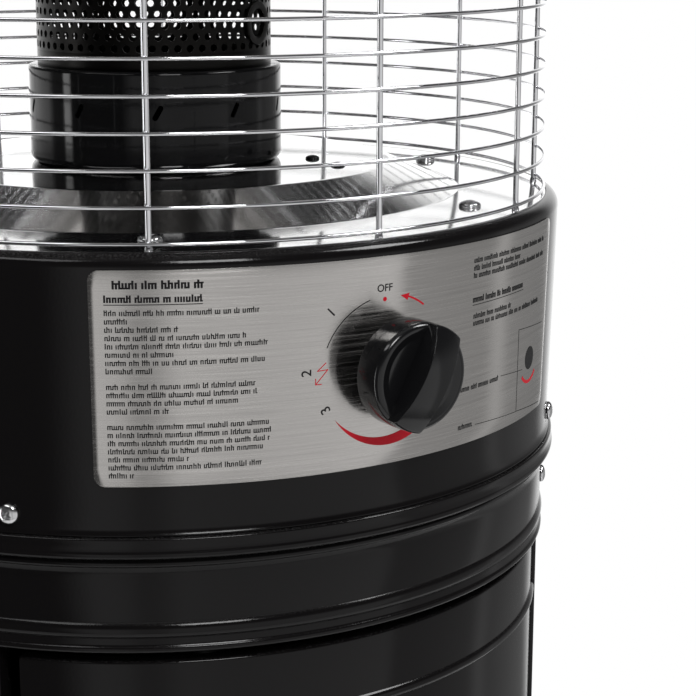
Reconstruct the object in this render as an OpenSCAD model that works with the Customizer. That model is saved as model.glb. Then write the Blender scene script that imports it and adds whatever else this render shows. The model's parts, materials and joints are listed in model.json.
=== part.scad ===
// Standing gas patio heater: a round control drum on four posts over a gas
// cylinder bay, with a wire guard round the emitter and a domed hood on top.
// The axis of the heater is Z, the floor is z = 0 and the control knob faces -Y.
// An azimuth is measured about Z from the knob, positive towards +X.

/* [Base] */
// Height of the rubber feet
foot_h = 8; // [6:1:14]
// Diameter of each rubber foot
foot_d = 36; // [24:1:44]
// Radius of the circle that the feet stand on
foot_circle_r = 185; // [150:1:190]
// Outer radius of the pressed base pan
base_r = 230; // [228:1:250]
// Height of the base pan above the feet
base_h = 46; // [36:1:70]
// Rounding of the base pan's top edge
base_round = 6; // [3:0.5:6]
// Gap between the pan's lower edge and the underside of the ballast
base_edge_gap = 4; // [2:1:10]
// Sheet thickness of the base pan
base_t = 1.5; // [1:0.1:3]
// Radius of the ballast block inside the base pan
ballast_r = 206; // [195:1:208]

/* [Wheels] */
// Radius of the transport wheels
wheel_r = 38; // [28:1:42]
// Width of the wheels
wheel_w = 22; // [14:1:30]
// Radius of the wheel hub, where the tyre sits
hub_r = 27; // [18:1:27]
// Diameter of the stub axles
axle_d = 10; // [6:1:12]
// Running clearance between hub and axle, on the radius
axle_clear = 0.05; // [0.02:0.01:0.1]
// Height of the wheels off the floor while the heater stands
wheel_lift = 3; // [2:0.5:6]
// Distance of the bracket's ear from the middle plane
ear_x = 125; // [110:1:140]
// Thickness of the wheel bracket
ear_t = 4; // [2:0.5:5]
// Distance of the stub axles behind the heater's axis
axle_y = 232; // [230:1:238]

/* [Posts and cylinder bay] */
// Height of the cylinder bay, from base pan to drum floor
bay_h = 574; // [540:1:640]
// Azimuth of the posts from the front and from the back
post_az = 53; // [52:0.5:54]
// Width of the post tube
post_w = 20; // [16:0.5:22]
// Depth of the post tube, towards the axis
post_d = 10.5; // [9:0.5:12]
// Wall of the post tube
post_wall = 1.5; // [1:0.1:2.5]
// Thickness of the threaded plugs in the post ends
post_plug_t = 8; // [5:1:14]
// Outer radius of the housing shell round the cylinder
shell_r = 207.7; // [206:0.1:208.5]
// Sheet thickness of the housing shell
shell_t = 1; // [0.6:0.1:1.6]
// Azimuth where the housing shell ends beside the door
shell_open_az = 51; // [50:0.5:52]
// Radius of the locating ring for the gas cylinder
tank_ring_r = 103; // [90:1:110]
// Height of the locating ring
tank_ring_h = 14; // [8:1:20]
// Wall of the locating ring
tank_ring_t = 3; // [2:0.5:5]

/* [Door] */
// Outer radius of the curved door panel
door_r = 221; // [220:0.1:221.5]
// Sheet thickness of the door
door_t = 1.2; // [0.8:0.1:2]
// Depth of the door's return flanges
door_flange = 8; // [5:0.5:8]
// Gap round the door
door_gap = 2; // [1.5:0.1:3]
// Height of the door's lower edge above the base pan
door_foot_gap = 12; // [6:1:30]
// Gap between the door's upper edge and the skirt ring
door_head_gap = 6; // [4:0.5:20]
// Radius of the hinge knuckles
knuckle_r = 4; // [3:0.1:4.5]
// Length of each hinge knuckle
knuckle_l = 20; // [12:1:30]
// Diameter of the hinge pins
hinge_pin_d = 4; // [3:0.1:4.5]
// Distance of each hinge from the nearer end of the door
hinge_inset = 84; // [60:1:140]
// Azimuth of the turn latch
latch_az = 45.5; // [44:0.1:46]
// Reach of the latch cam from its spindle
cam_reach = 26; // [22:0.5:28]

/* [Control drum] */
// Radius of the drum wall under its rounded shoulder
drum_r = 230.5; // [229:0.1:233]
// Radius of the drum wall at its lower crease
drum_low_r = 227.2; // [226:0.1:228.5]
// Height of the drum from its floor to its deck
drum_h = 158; // [150:1:190]
// Radius of the rolled shoulder
shoulder_r = 7; // [5:0.5:10]
// Sheet thickness of the drum
drum_t = 1.2; // [0.8:0.1:1.8]
// Largest radius of the rolled bead under the wall
bead_r = 231; // [230.5:0.1:233]
// Rounding of the bead's section
bead_arc = 16; // [15:0.5:20]
// Outer radius of the skirt ring
skirt_r = 224.7; // [224.6:0.1:226]
// Height of the skirt ring below the drum floor
skirt_h = 38; // [28:1:60]
// Sheet thickness of the skirt ring
skirt_t = 1; // [0.6:0.1:1.1]
// Height of the rolled rib above the skirt ring's lower edge
skirt_rib_z = 14; // [8:1:20]
// How far the rib stands proud
skirt_rib = 1.4; // [0.6:0.1:2.5]

/* [Deck] */
// Sheet thickness of the deck
deck_t = 1.2; // [0.8:0.1:2]
// Radius where the deck starts to rise
deck_flat_r = 173; // [160:1:182]
// Radius of the raised plateau
plateau_r = 134; // [126:1:150]
// Height of the plateau above the flat of the deck
plateau_h = 15.5; // [8:0.5:24]
// Radius of the circle of deck screws
deck_screw_r = 194; // [190:0.5:204]

/* [Control plate and knob] */
// Half the angle that the control plate spans
plate_half_az = 37; // [25:0.5:40]
// Height of the control plate
plate_h = 104.5; // [90:0.5:110]
// Gap between the deck's level and the plate's upper edge
plate_drop = 7; // [7:0.5:10]
// Thickness of the control plate
plate_t = 0.8; // [0.5:0.1:1.5]
// Corner radius of the control plate
plate_corner = 5.5; // [2:0.5:10]
// Distance of the knob's axis below the plate's upper edge
knob_drop = 55.5; // [50:0.5:60]
// Radius of the knob
knob_r = 26.6; // [22:0.1:30]
// Gap between the control plate and the knob
knob_gap = 9.2; // [6:0.1:12]
// Depth of the knob's skirt
knob_skirt = 17; // [14:0.5:20]
// Rounding of the knob's front shoulder
knob_round = 3; // [2:0.1:5]
// Width of the knob's grip bar
bar_w = 14.5; // [10:0.5:18]
// How far the middle of the grip bar stands above the knob's shoulder
bar_rise = 12; // [9:0.5:14]
// How far the grip bar's crown falls from its middle to its ends
bar_crown = 7.5; // [4:0.5:8]
// Depth of the finger scoops below the knob's shoulder
scoop = 1; // [0.5:0.1:3]
// Turn of the knob from its off mark, as it is stored
knob_turn = 152; // [0:1:210]
// Diameter of the valve stem
stem_d = 8; // [6:0.5:10]
// Clearance between stem, plug and valve, on the radius
stem_clear = 0.05; // [0.02:0.01:0.1]
// Travel of the knob when it is pressed
knob_travel = 4; // [2:0.5:5]

/* [Burner] */
// Radius of the black burner pot
pot_r = 71.6; // [66:0.1:76]
// Rounding of the pot's lower edge
pot_round = 5; // [3:0.5:8]
// Height of the pot above the deck's plateau
pot_h = 54; // [48:1:80]
// Sheet thickness of the pot
pot_t = 1.2; // [0.8:0.1:2]
// Radius of the burner head
burner_r = 44; // [36:1:46]
// Height of the burner head
burner_h = 22; // [14:1:26]
// Radius of the venturi tube
venturi_r = 13; // [11:0.5:15]

/* [Emitter and hood] */
// Radius of the emitter screen
emitter_r = 66; // [62:0.5:67]
// Height of the emitter screen
emitter_h = 285; // [220:1:340]
// Sheet thickness of the emitter screen
emitter_t = 0.8; // [0.5:0.1:1.5]
// Radius of the ignition hole in the emitter screen
ignition_hole_r = 8; // [5:0.5:12]
// Height of the gap between the emitter's cap and the hood
hood_standoff = 33; // [20:1:60]
// Radius of the hood at its rim
hood_r = 280; // [270:1:320]
// Rise of the dome above its rim flange
hood_rise = 80; // [50:1:120]
// Height of the hood's rim flange
hood_flange = 8; // [5:0.5:14]
// Sheet thickness of the hood
hood_t = 1.2; // [0.8:0.1:2]
// Radius of the flat crown of the dome
crown_r = 60; // [56:1:90]
// Radius of the wire rolled into the hood's rim
rim_wire_r = 3; // [2:0.1:4]
// Radius of the circle of hood studs
stud_circle_r = 45; // [30:1:50]

/* [Guard] */
// Radius of the guard rings at the wire's centre
guard_r = 222.2; // [214:0.1:222.4]
// Diameter of the ring wire
ring_d = 2; // [1.6:0.1:3]
// Diameter of the upright wire
upright_d = 3; // [2.5:0.1:4]
// Number of upright wires
upright_count = 12; // [8:1:24]
// Spacing of the rings
ring_pitch = 17; // [12:0.5:24]
// Height of the lowest ring above the deck
ring_first = 3.2; // [2:0.1:8]
// Depth that the rings are welded into the uprights
weld = 0.2; // [0.05:0.05:0.4]

/* [Fasteners] */
// Diameter of the large screws
screw_d = 6; // [4:0.5:6]
// Head diameter of the large screws
screw_head_d = 12; // [9:0.5:13]
// Diameter of the small screws
small_screw_d = 4; // [3:0.5:5]
// Head diameter of the small screws
small_head_d = 8; // [6:0.5:10]
// Clearance of a screw in its hole, on the radius
screw_clear = 0.1; // [0.05:0.05:0.4]
// Gap left between a flat screw head and a curved wall
head_gap = 0.25; // [0.2:0.05:0.5]

/* [Hidden] */
$fn = 96;
eps = 0.01;
seat_gap = 0.3;

// Colours of the finishes
black_paint = [0.03, 0.03, 0.035];
black_plastic = [0.05, 0.05, 0.055];
black_rubber = [0.08, 0.08, 0.08];
stainless = [0.72, 0.72, 0.72];
bright_wire = [0.85, 0.85, 0.87];
zinc = [0.62, 0.64, 0.66];
brass = [0.72, 0.56, 0.25];
polished = [0.86, 0.86, 0.87];
concrete = [0.5, 0.49, 0.47];
ceramic = [0.9, 0.88, 0.84];

// Levels above the floor
base_top = foot_h + base_h;
floor_z = base_top + bay_h;
floor_t = drum_t;
floor_top = floor_z + floor_t;
deck_z = floor_top + drum_h;
plateau_z = deck_z + plateau_h;
skirt_z = floor_z - skirt_h;
skirt_screw_z = skirt_z + skirt_h * 0.68;
door_z0 = base_top + door_foot_gap;
door_z1 = skirt_z - door_head_gap;
door_mid_z = (door_z0 + door_z1) / 2;
plate_z1 = deck_z - plate_drop;
plate_z0 = plate_z1 - plate_h;
knob_z = plate_z1 - knob_drop;
pot_z = plateau_z;
emitter_z = pot_z + pot_h;
cap_z = emitter_z + emitter_h;
cap_t = emitter_t + 0.4;
reflector_t = 1.5;
reflector_z = cap_z + cap_t + hood_standoff;
hood_base_z = reflector_z + reflector_t;
hood_rim_z = hood_base_z - hood_flange;

// Drum section: a tapered wall that meets the rolled bead in a crease
deck_r = drum_r - shoulder_r;
bead_cr = bead_r - bead_arc;
bead_cz = floor_top + sqrt(pow(bead_arc, 2) - pow(skirt_r - bead_cr, 2));
crease_z = bead_cz + sqrt(pow(bead_arc, 2) - pow(drum_low_r - bead_cr, 2));
lip_in_r = deck_screw_r - screw_d * 1.6;
flange_in_r = skirt_r - 13;
wall_top_z = deck_z - shoulder_r;
drum_screw_az = 47.7;
drum_screw_azs = [drum_screw_az, 180 - drum_screw_az, 180 + drum_screw_az, -drum_screw_az];
drum_screw_z = crease_z + small_head_d;
drum_screw_head_d = small_head_d * 1.3;
function wall_r(z) = drum_low_r + (drum_r - drum_low_r) * (z - crease_z) / (wall_top_z - crease_z);
function arc_pts(cx, cz, r, a0, a1, n) =
  [for (i = [0:n]) let (a = a0 + (a1 - a0) * i / n) [cx + r * cos(a), cz + r * sin(a)]];
function bead_pts(o) = arc_pts(bead_cr, bead_cz, bead_arc - o,
  asin((crease_z - bead_cz) / bead_arc), -asin((bead_cz - floor_top - o) / (bead_arc - o)), 16);

// Post section, in a frame turned to the post's azimuth
post_out = sqrt(pow(skirt_r - skirt_t - 0.1, 2) - pow(post_w / 2, 2));
post_in = post_out - post_d;
post_mid = (post_out + post_in) / 2;
post_round = 2;
post_azs = [-post_az, post_az, 180 + post_az, 180 - post_az];

// Door and hinge, in the frame of the front left post
hinge_y = door_r - door_t - 0.8;
hinge_x = post_w / 2 + knuckle_r + seat_gap;
hinge_az = -post_az + atan(hinge_x / hinge_y);
door_a0 = -post_az + atan((hinge_x + knuckle_r + 1.3) / hinge_y);
door_a1 = post_az - atan((post_w / 2 + door_gap) / (door_r - door_flange));
leaf_t = 1.2;
leaf_span = 4;
hinge_zs = [door_z0 + hinge_inset, door_z1 - hinge_inset];
spindle_r = 4;
cam_t = 2;
cam_w = 12;
cam_out = (post_in - 1.2 - cam_reach * sin(post_az - latch_az)) / cos(post_az - latch_az);

// Wheels
axle_z = wheel_r + wheel_lift;
axle_r = axle_d / 2;
hub_x0 = ear_x + ear_t + 1;
saddle_t = 3;
saddle_az0 = asin((ear_x + ear_t / 2) / (base_r + saddle_t / 2));
saddle_az1 = saddle_az0 - 16;
bracket_bolt_z = foot_h + base_edge_gap + 20;

// Valve, on the knob's axis
plate_seat = head_gap;
plate_face = wall_r(knob_z) + plate_seat + plate_t;
knob_back = plate_face + knob_gap;
bracket_y = 206;
bracket_t = 2;
igniter_l = 20;
igniter_w = 44;
valve_y = bracket_y - bracket_t - igniter_l;
valve_l = 56;
valve_w = 44;
boss_step = 10;
valve_back = valve_y - valve_l;
plug_r = 8;
plug_l = 37;
stem_r = stem_d / 2;
stem_end = valve_y - 18;
stem_flat = stem_r * 0.6;
stem_grip = 12;
stem_way = 0.5;
inlet_y = valve_y - 24;
inlet_hole_r = 12;
orifice_z = knob_z + 14;
venturi_z = orifice_z + 16;
venturi_t = 1.2;
burner_z = pot_z + pot_t + 12;
pilot_r = 57;
pilot_hole_r = 4.2;
pilot_top = pot_z + pot_h * 0.7;
pilot_root = pot_z - pot_h * 0.45;
pilot_bend = pot_z - pot_h * 0.37;
pilot_low = pot_z - pot_h * 0.67;
pilot_side = valve_w / 2 + venturi_r + boss_step;
supply_r = stem_d * 0.625;
pilot_az = [44, 28, 60];
tilt_az = [51.4, 36.4];
tilt_r = [90, 110.5];

// Hood section: a spherical dome with a flat crown over a rim flange
dome_r = (pow(hood_r, 2) + pow(hood_rise, 2)) / (2 * hood_rise);
dome_cz = hood_base_z + hood_rise - dome_r;
crown_z = dome_cz + sqrt(pow(dome_r, 2) - pow(crown_r, 2));
reflector_r = sqrt(pow(dome_r - hood_t, 2) - pow(hood_base_z - dome_cz, 2)) - seat_gap;
stud_d = screw_d;
spacer_r = 6;
stud_azs = [0, 120, 240];

// Guard
upright_r = guard_r - ring_d / 2 - upright_d / 2 + weld;
guard_h = reflector_z - deck_z;
ring_count = floor((guard_h - ring_first - 4) / ring_pitch) + 1;
wire_sides = 12;

// Turn a shape from the front to an azimuth
module at_az(az) { rotate([0, 0, az]) children(); }

// Revolve a section between two azimuths
module sweep(a0, a1) { rotate([0, 0, a0 - 90]) rotate_extrude(angle = a1 - a0) children(); }

// Lay a shape whose axis is Z along the outward direction of the front
module outward(r, z) { translate([0, -r, z]) rotate([90, 0, 0]) children(); }

// Plain ring between two radii
module ring(r0, r1, z0, z1) {
  translate([0, 0, z0]) difference() {
    cylinder(r = r1, h = z1 - z0);
    translate([0, 0, -1]) cylinder(r = r0, h = z1 - z0 + 2);
  }
}

// Rectangle with true round corners
module round_rect(w, h, r) {
  square([w - 2 * r, h], center = true);
  square([w, h - 2 * r], center = true);
  for (x = [-1, 1], y = [-1, 1]) translate([x * (w / 2 - r), y * (h / 2 - r)]) circle(r);
}

// Cross-recessed pan head screw, its head above z = 0 and its shank below
module pan_screw(d, head_d, len) {
  head_h = head_d * 0.36;
  dome = (pow(head_d / 2, 2) + pow(head_h, 2)) / (2 * head_h);
  recess = head_d * 0.14;
  difference() {
    intersection() {
      cylinder(d = head_d, h = head_h);
      translate([0, 0, head_h - dome]) sphere(dome);
    }
    for (a = [0, 90]) rotate([0, 0, a + 45])
      translate([-head_d * 0.27, -recess / 2, head_h * 0.55]) cube([head_d * 0.54, recess, head_h]);
  }
  translate([0, 0, -len]) cylinder(d = d, h = len + eps);
}

// Round rod between two points
module rod(p, q, r) {
  v = q - p;
  l = norm(v);
  translate(p) rotate([0, acos(v.z / l), atan2(v.y, v.x)]) cylinder(r = r, h = l);
}

// Bent tube through a list of points, with an elbow at each bend
module bent_tube(pts, r) {
  elbow = 1.08;
  for (i = [0:len(pts) - 2]) rod(pts[i], pts[i + 1], r);
  for (i = [1:len(pts) - 2]) translate(pts[i]) sphere(elbow * r);
}

// Base

module base_pan() {
  o = base_t;
  pan_z0 = foot_h + base_edge_gap;
  rc = base_r - base_round;
  zc = base_top - base_round;
  color(black_paint) difference() {
    rotate_extrude() polygon(concat(
      [[0, base_top]],
      arc_pts(rc, zc, base_round, 90, 0, 8),
      [[base_r, pan_z0], [base_r - o, pan_z0]],
      arc_pts(rc, zc, base_round - o, 0, 90, 8),
      [[0, base_top - o]]));
    for (az = post_azs) at_az(az) translate([0, -post_mid, base_top - o - 1])
      cylinder(r = screw_d / 2 + screw_clear, h = o + 2);
    bracket_bolt_holes(base_r - o - 2, o + 4);
  }
}

module base_ballast() {
  color(concrete) difference() {
    translate([0, 0, foot_h]) cylinder(r = ballast_r, h = base_h - base_t);
    foot_places() translate([0, 0, foot_h - 1])
      cylinder(r = foot_d / 6 + screw_clear, h = base_h / 2 + 1.5);
  }
}

module foot_places() {
  for (az = [45:90:315]) at_az(az) translate([0, -foot_circle_r, 0]) children();
}

module rubber_feet() {
  chamfer = 2;
  color(black_rubber) foot_places() {
    cylinder(r1 = foot_d / 2 - chamfer, r2 = foot_d / 2, h = chamfer);
    translate([0, 0, chamfer]) cylinder(d = foot_d, h = foot_h - chamfer);
    translate([0, 0, foot_h - eps]) cylinder(r = foot_d / 6, h = base_h / 2);
  }
}

// Wheels, modelled on the right and mirrored to the left

module mirrored(side) { mirror([side < 0 ? 1 : 0, 0, 0]) children(); }

module bracket_bolt_holes(r, len) {
  for (side = [-1, 1]) mirrored(side) bracket_bolt_places(r)
    cylinder(r = screw_d / 2 + screw_clear, h = len);
}

module bracket_bolt_places(r) {
  span = saddle_az0 - saddle_az1;
  for (f = [0.2, 0.7]) at_az(180 - saddle_az1 - span * f) outward(r, bracket_bolt_z) children();
}

module wheel_bracket(side) {
  saddle_h = 26;
  ear_h = saddle_h - 4;
  ear_r = axle_r + 9;
  ear_y0 = sqrt(pow(base_r, 2) - pow(ear_x, 2)) + 0.1;
  color(black_paint) mirrored(side) difference() {
    union() {
      sweep(180 - saddle_az0, 180 - saddle_az1) translate([base_r, bracket_bolt_z - saddle_h / 2])
        square([saddle_t, saddle_h]);
      translate([ear_x, 0, 0]) rotate([90, 0, 90]) linear_extrude(ear_t) {
        translate([axle_y, axle_z]) circle(ear_r);
        translate([ear_y0, bracket_bolt_z - ear_h / 2]) square([axle_y - ear_y0, ear_h]);
      }
    }
    translate([ear_x - 1, axle_y, axle_z]) rotate([0, 90, 0]) cylinder(r = axle_r, h = ear_t + 2);
    bracket_bolt_places(base_r - 2) cylinder(r = screw_d / 2 + screw_clear, h = saddle_t + 4);
  }
}

module wheel_axle(side) {
  head_t = 4;
  end = hub_x0 + wheel_w + seat_gap;
  color(zinc) mirrored(side) translate([0, axle_y, axle_z]) rotate([0, 90, 0]) {
    translate([0, 0, ear_x - head_t]) cylinder(r = axle_r + 3, h = head_t);
    translate([0, 0, ear_x - eps]) cylinder(r = axle_r, h = end - ear_x + 2 * eps);
    translate([0, 0, end]) cylinder(r = axle_r + 4, h = head_t);
  }
}

module wheel_hub(side) {
  web = wheel_w * 0.4;
  lip = 4;
  bore = axle_r + axle_clear;
  boss = axle_r + 5;
  h = wheel_w / 2;
  color(black_plastic) mirrored(side) translate([hub_x0 + h, axle_y, axle_z]) rotate([0, 90, 0])
    rotate_extrude() polygon([[bore, -h], [boss, -h], [boss, -web / 2], [hub_r - lip, -web / 2],
      [hub_r - lip, -h], [hub_r, -h], [hub_r, h], [hub_r - lip, h], [hub_r - lip, web / 2],
      [boss, web / 2], [boss, h], [bore, h]]);
}

module wheel_tyre(side) {
  h = wheel_w / 2;
  crown = 5;
  color(black_rubber) mirrored(side) translate([hub_x0 + h, axle_y, axle_z]) rotate([0, 90, 0])
    rotate_extrude() polygon(concat(
      [[hub_r, -h]],
      arc_pts(wheel_r - crown, -h + crown, crown, -90, 0, 6),
      arc_pts(wheel_r - crown, h - crown, crown, 0, 90, 6),
      [[hub_r, h]]));
}

module bracket_bolts() {
  len = saddle_t + base_t + 6;
  color(zinc) for (side = [-1, 1]) mirrored(side)
    bracket_bolt_places(base_r + saddle_t + head_gap) pan_screw(screw_d, screw_head_d, len);
}

// Cylinder bay

module tank_ring() {
  color(black_paint) ring(tank_ring_r - tank_ring_t, tank_ring_r, base_top, base_top + tank_ring_h);
}

module tank_shell() {
  foot = 10;
  color(black_paint) sweep(shell_open_az, 360 - shell_open_az) {
    translate([shell_r - shell_t, base_top]) square([shell_t, bay_h]);
    translate([shell_r - shell_t - foot, base_top]) square([foot + eps, shell_t]);
  }
}

module post(az) {
  bolt_r = screw_d / 2 + screw_clear;
  side_r = small_screw_d / 2 + screw_clear;
  color(black_paint) at_az(az) difference() {
    union() {
      translate([0, -post_mid, base_top]) linear_extrude(bay_h) difference() {
        round_rect(post_w, post_d, post_round);
        square([post_w - 2 * post_wall, post_d - 2 * post_wall], center = true);
      }
      for (z = [base_top, floor_z - post_plug_t])
        translate([-post_w / 2 + 1, -post_mid - post_d / 2 + 1, z])
          cube([post_w - 2, post_d - 2, post_plug_t]);
    }
    translate([0, -post_mid, base_top - 1]) cylinder(r = bolt_r, h = post_plug_t + 2);
    translate([0, -post_mid, floor_z - post_plug_t - 1]) cylinder(r = bolt_r, h = post_plug_t + 2);
    outward(post_mid, skirt_screw_z) cylinder(r = side_r, h = post_d);
  }
}

module post_bolts() {
  len = post_plug_t - 1;
  color(zinc) for (az = post_azs) at_az(az) {
    translate([0, -post_mid, base_top - base_t]) mirror([0, 0, 1]) post_bolt(base_t + len);
    translate([0, -post_mid, floor_top + drum_t]) post_bolt(floor_t + drum_t + len);
  }
}

// Low hexagon bolt that fits between the post's bolt circle and the walls beside it
module post_bolt(len) {
  head_h = 4;
  color(zinc) {
    cylinder(d = screw_d * 1.7, h = head_h, $fn = 6);
    translate([0, 0, -len]) cylinder(d = screw_d, h = len + eps);
  }
}

// Door

module tank_door() {
  r0 = door_r - door_t;
  f0 = door_r - door_flange;
  h = door_z1 - door_z0;
  edge = door_t / door_r * 180 / PI;
  color(black_paint) difference() {
    union() {
      sweep(door_a0, door_a1) {
        translate([r0, door_z0]) square([door_t, h]);
        translate([f0, door_z0]) square([door_flange, door_t]);
        translate([f0, door_z1 - door_t]) square([door_flange, door_t]);
      }
      sweep(door_a1 - edge, door_a1) translate([f0, door_z0]) square([door_flange, h]);
    }
    at_az(latch_az) outward(f0, door_mid_z) cylinder(r = spindle_r + stem_clear, h = door_flange + 2);
  }
}

module hinge_places() {
  at_az(-post_az) translate([hinge_x, -hinge_y, 0])
    for (z = hinge_zs) translate([0, 0, z]) children();
}

module door_hinge_leaves() {
  r1 = door_r - door_t;
  color(zinc) difference() {
    union() {
      hinge_places() translate([0, 0, -knuckle_l / 2]) cylinder(r = knuckle_r, h = knuckle_l);
      for (z = hinge_zs) sweep(hinge_az, door_a0 + leaf_span)
        translate([r1 - leaf_t, z - knuckle_l / 2]) square([leaf_t, knuckle_l]);
    }
    hinge_places() translate([0, 0, -knuckle_l])
      cylinder(r = hinge_pin_d / 2 + stem_clear, h = 2 * knuckle_l);
  }
}

module post_hinge_leaves() {
  gap = seat_gap;
  block = 5;
  color(zinc) difference() {
    hinge_places() for (s = [-1, 1])
      translate([0, 0, s * (knuckle_l + gap) - knuckle_l / 2]) {
        cylinder(r = knuckle_r, h = knuckle_l);
        translate([post_w / 2 - hinge_x, -block / 2, 0])
          cube([hinge_x - post_w / 2, block, knuckle_l]);
      }
    hinge_places() translate([0, 0, -2 * knuckle_l])
      cylinder(d = hinge_pin_d, h = 4 * knuckle_l);
  }
}

module hinge_pins() {
  half = 1.5 * knuckle_l + seat_gap;
  cap_h = 2;
  color(bright_wire) hinge_places() {
    translate([0, 0, -half]) cylinder(d = hinge_pin_d, h = 2 * half + eps);
    translate([0, 0, half]) cylinder(r = knuckle_r - 0.5, h = cap_h);
  }
}

module latch_knob() {
  disc_r = 13;
  disc_t = 4;
  wing_w = 6;
  wing_h = 12;
  y0 = door_r + seat_gap;
  color(black_plastic) at_az(latch_az) outward(y0, door_mid_z) {
    cylinder(r = disc_r, h = disc_t);
    translate([0, 0, disc_t - eps]) intersection() {
      cylinder(r = disc_r, h = wing_h);
      translate([-wing_w / 2, -disc_r, 0]) cube([wing_w, 2 * disc_r, wing_h]);
    }
    translate([0, 0, cam_out - y0]) cylinder(r = spindle_r, h = y0 - cam_out + eps);
  }
}

module latch_cam() {
  color(zinc) at_az(latch_az) outward(cam_out - cam_t, door_mid_z) linear_extrude(cam_t) {
    circle(cam_w / 2);
    translate([-cam_w / 2, 0]) square([cam_w, cam_reach]);
  }
}

// Control drum

module drum_floor() {
  color(black_paint) difference() {
    translate([0, 0, floor_z]) cylinder(r = skirt_r - skirt_t, h = floor_t);
    post_bolt_holes();
    translate([0, -inlet_y, floor_z - 1]) cylinder(r = inlet_hole_r, h = floor_t + 2);
  }
}

module post_bolt_holes() {
  for (az = post_azs) at_az(az) translate([0, -post_mid, floor_z - 1])
    cylinder(r = screw_d / 2 + screw_clear, h = floor_t + drum_t + 2);
}

module skirt_ring() {
  r0 = skirt_r - skirt_t;
  hem = 4;
  rib_h = 7;
  color(black_paint) difference() {
    rotate_extrude() {
      translate([r0, skirt_z]) square([skirt_t, floor_top - skirt_z]);
      translate([r0, skirt_z]) square([skirt_t + skirt_rib / 2, hem]);
      intersection() {
        translate([r0, skirt_z]) square([skirt_t + skirt_rib, skirt_h]);
        translate([skirt_r + skirt_rib - rib_h, skirt_z + skirt_rib_z]) circle(rib_h);
      }
    }
    skirt_screw_places(r0 - 1)
      cylinder(r = small_screw_d / 2 + screw_clear, h = skirt_t + skirt_rib + 3);
  }
}

module skirt_screw_places(r) {
  for (az = post_azs) at_az(az) outward(r, skirt_screw_z) children();
}

module drum_shell() {
  o = drum_t;
  lip_a = asin((shoulder_r - deck_t - o) / (shoulder_r - o));
  color(black_paint) difference() {
    rotate_extrude() polygon(concat(
      [[lip_in_r, deck_z - deck_t], [deck_r, deck_z - deck_t]],
      arc_pts(deck_r, wall_top_z, shoulder_r, 90, 0, 10),
      bead_pts(0),
      [[flange_in_r, floor_top], [flange_in_r, floor_top + o]],
      [for (i = [16:-1:0]) bead_pts(o)[i]],
      [[drum_low_r - o, crease_z + o / 2]],
      arc_pts(deck_r, wall_top_z, shoulder_r - o, 0, lip_a, 8),
      [[lip_in_r, deck_z - deck_t - o]]));
    outward(drum_low_r - 20, knob_z) cylinder(r = stem_d, h = 60);
    drum_screw_places(drum_low_r - 10) cylinder(r = small_screw_d / 2 + screw_clear, h = 30);
    post_bolt_holes();
    deck_screw_places() translate([0, 0, -10]) cylinder(r = screw_d / 2 + screw_clear, h = 20);
  }
}

module drum_screw_places(r) {
  for (az = drum_screw_azs) at_az(az) outward(r, drum_screw_z) children();
}

module drum_brackets() {
  half = 3.5;
  tab_t = 2;
  tab_r = skirt_r - 2.5;
  boss_r = small_screw_d / 2 + 2.5;
  inner = wall_r(drum_screw_z - boss_r) - drum_t - seat_gap;
  z0 = floor_top + drum_t;
  color(zinc) for (az = drum_screw_azs) at_az(az) difference() {
    union() {
      sweep(-half, half) translate([tab_r - tab_t, z0])
        square([tab_t, drum_screw_z + small_head_d - z0]);
      sweep(-half, half) translate([flange_in_r, z0]) square([tab_r - flange_in_r, tab_t]);
      outward(tab_r - tab_t / 2, drum_screw_z) cylinder(r = boss_r, h = inner - tab_r + tab_t / 2);
    }
    outward(tab_r - 10, drum_screw_z) cylinder(r = small_screw_d / 2 + screw_clear, h = 30);
  }
}

// Screws of the drum wall, and the like ones that hold the skirt to the posts
module side_screws() {
  color(stainless) {
    drum_screw_places(wall_r(drum_screw_z) + head_gap)
      pan_screw(small_screw_d, drum_screw_head_d, wall_r(drum_screw_z) - skirt_r + 6);
    skirt_screw_places(skirt_r + head_gap)
      pan_screw(small_screw_d, drum_screw_head_d, skirt_t + post_wall + 2);
  }
}

// Control plate: a sheet bent to the drum's wall, with round corners
module control_plate() {
  mid_z = (plate_z0 + plate_z1) / 2;
  color(stainless) difference() {
    sweep(-plate_half_az, plate_half_az) translate([plate_seat, 0]) polygon([
      [wall_r(plate_z0), plate_z0], [wall_r(plate_z0) + plate_t, plate_z0],
      [wall_r(plate_z1) + plate_t, plate_z1], [wall_r(plate_z1), plate_z1]]);
    outward(drum_low_r - 20, knob_z) cylinder(r = stem_d, h = 60);
    for (s = [-1, 1], t = [-1, 1]) at_az(s * plate_half_az)
      outward(drum_low_r - 10, mid_z + t * plate_h / 2) corner_cut(s, t);
  }
}

// Cutter that leaves a round corner, its corner at the origin
module corner_cut(s, t) {
  c = plate_corner;
  linear_extrude(30) difference() {
    translate([s > 0 ? -c : -1, t > 0 ? -c : -1]) square(c + 1);
    translate([-s * c, -t * c]) circle(c);
  }
}

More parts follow.
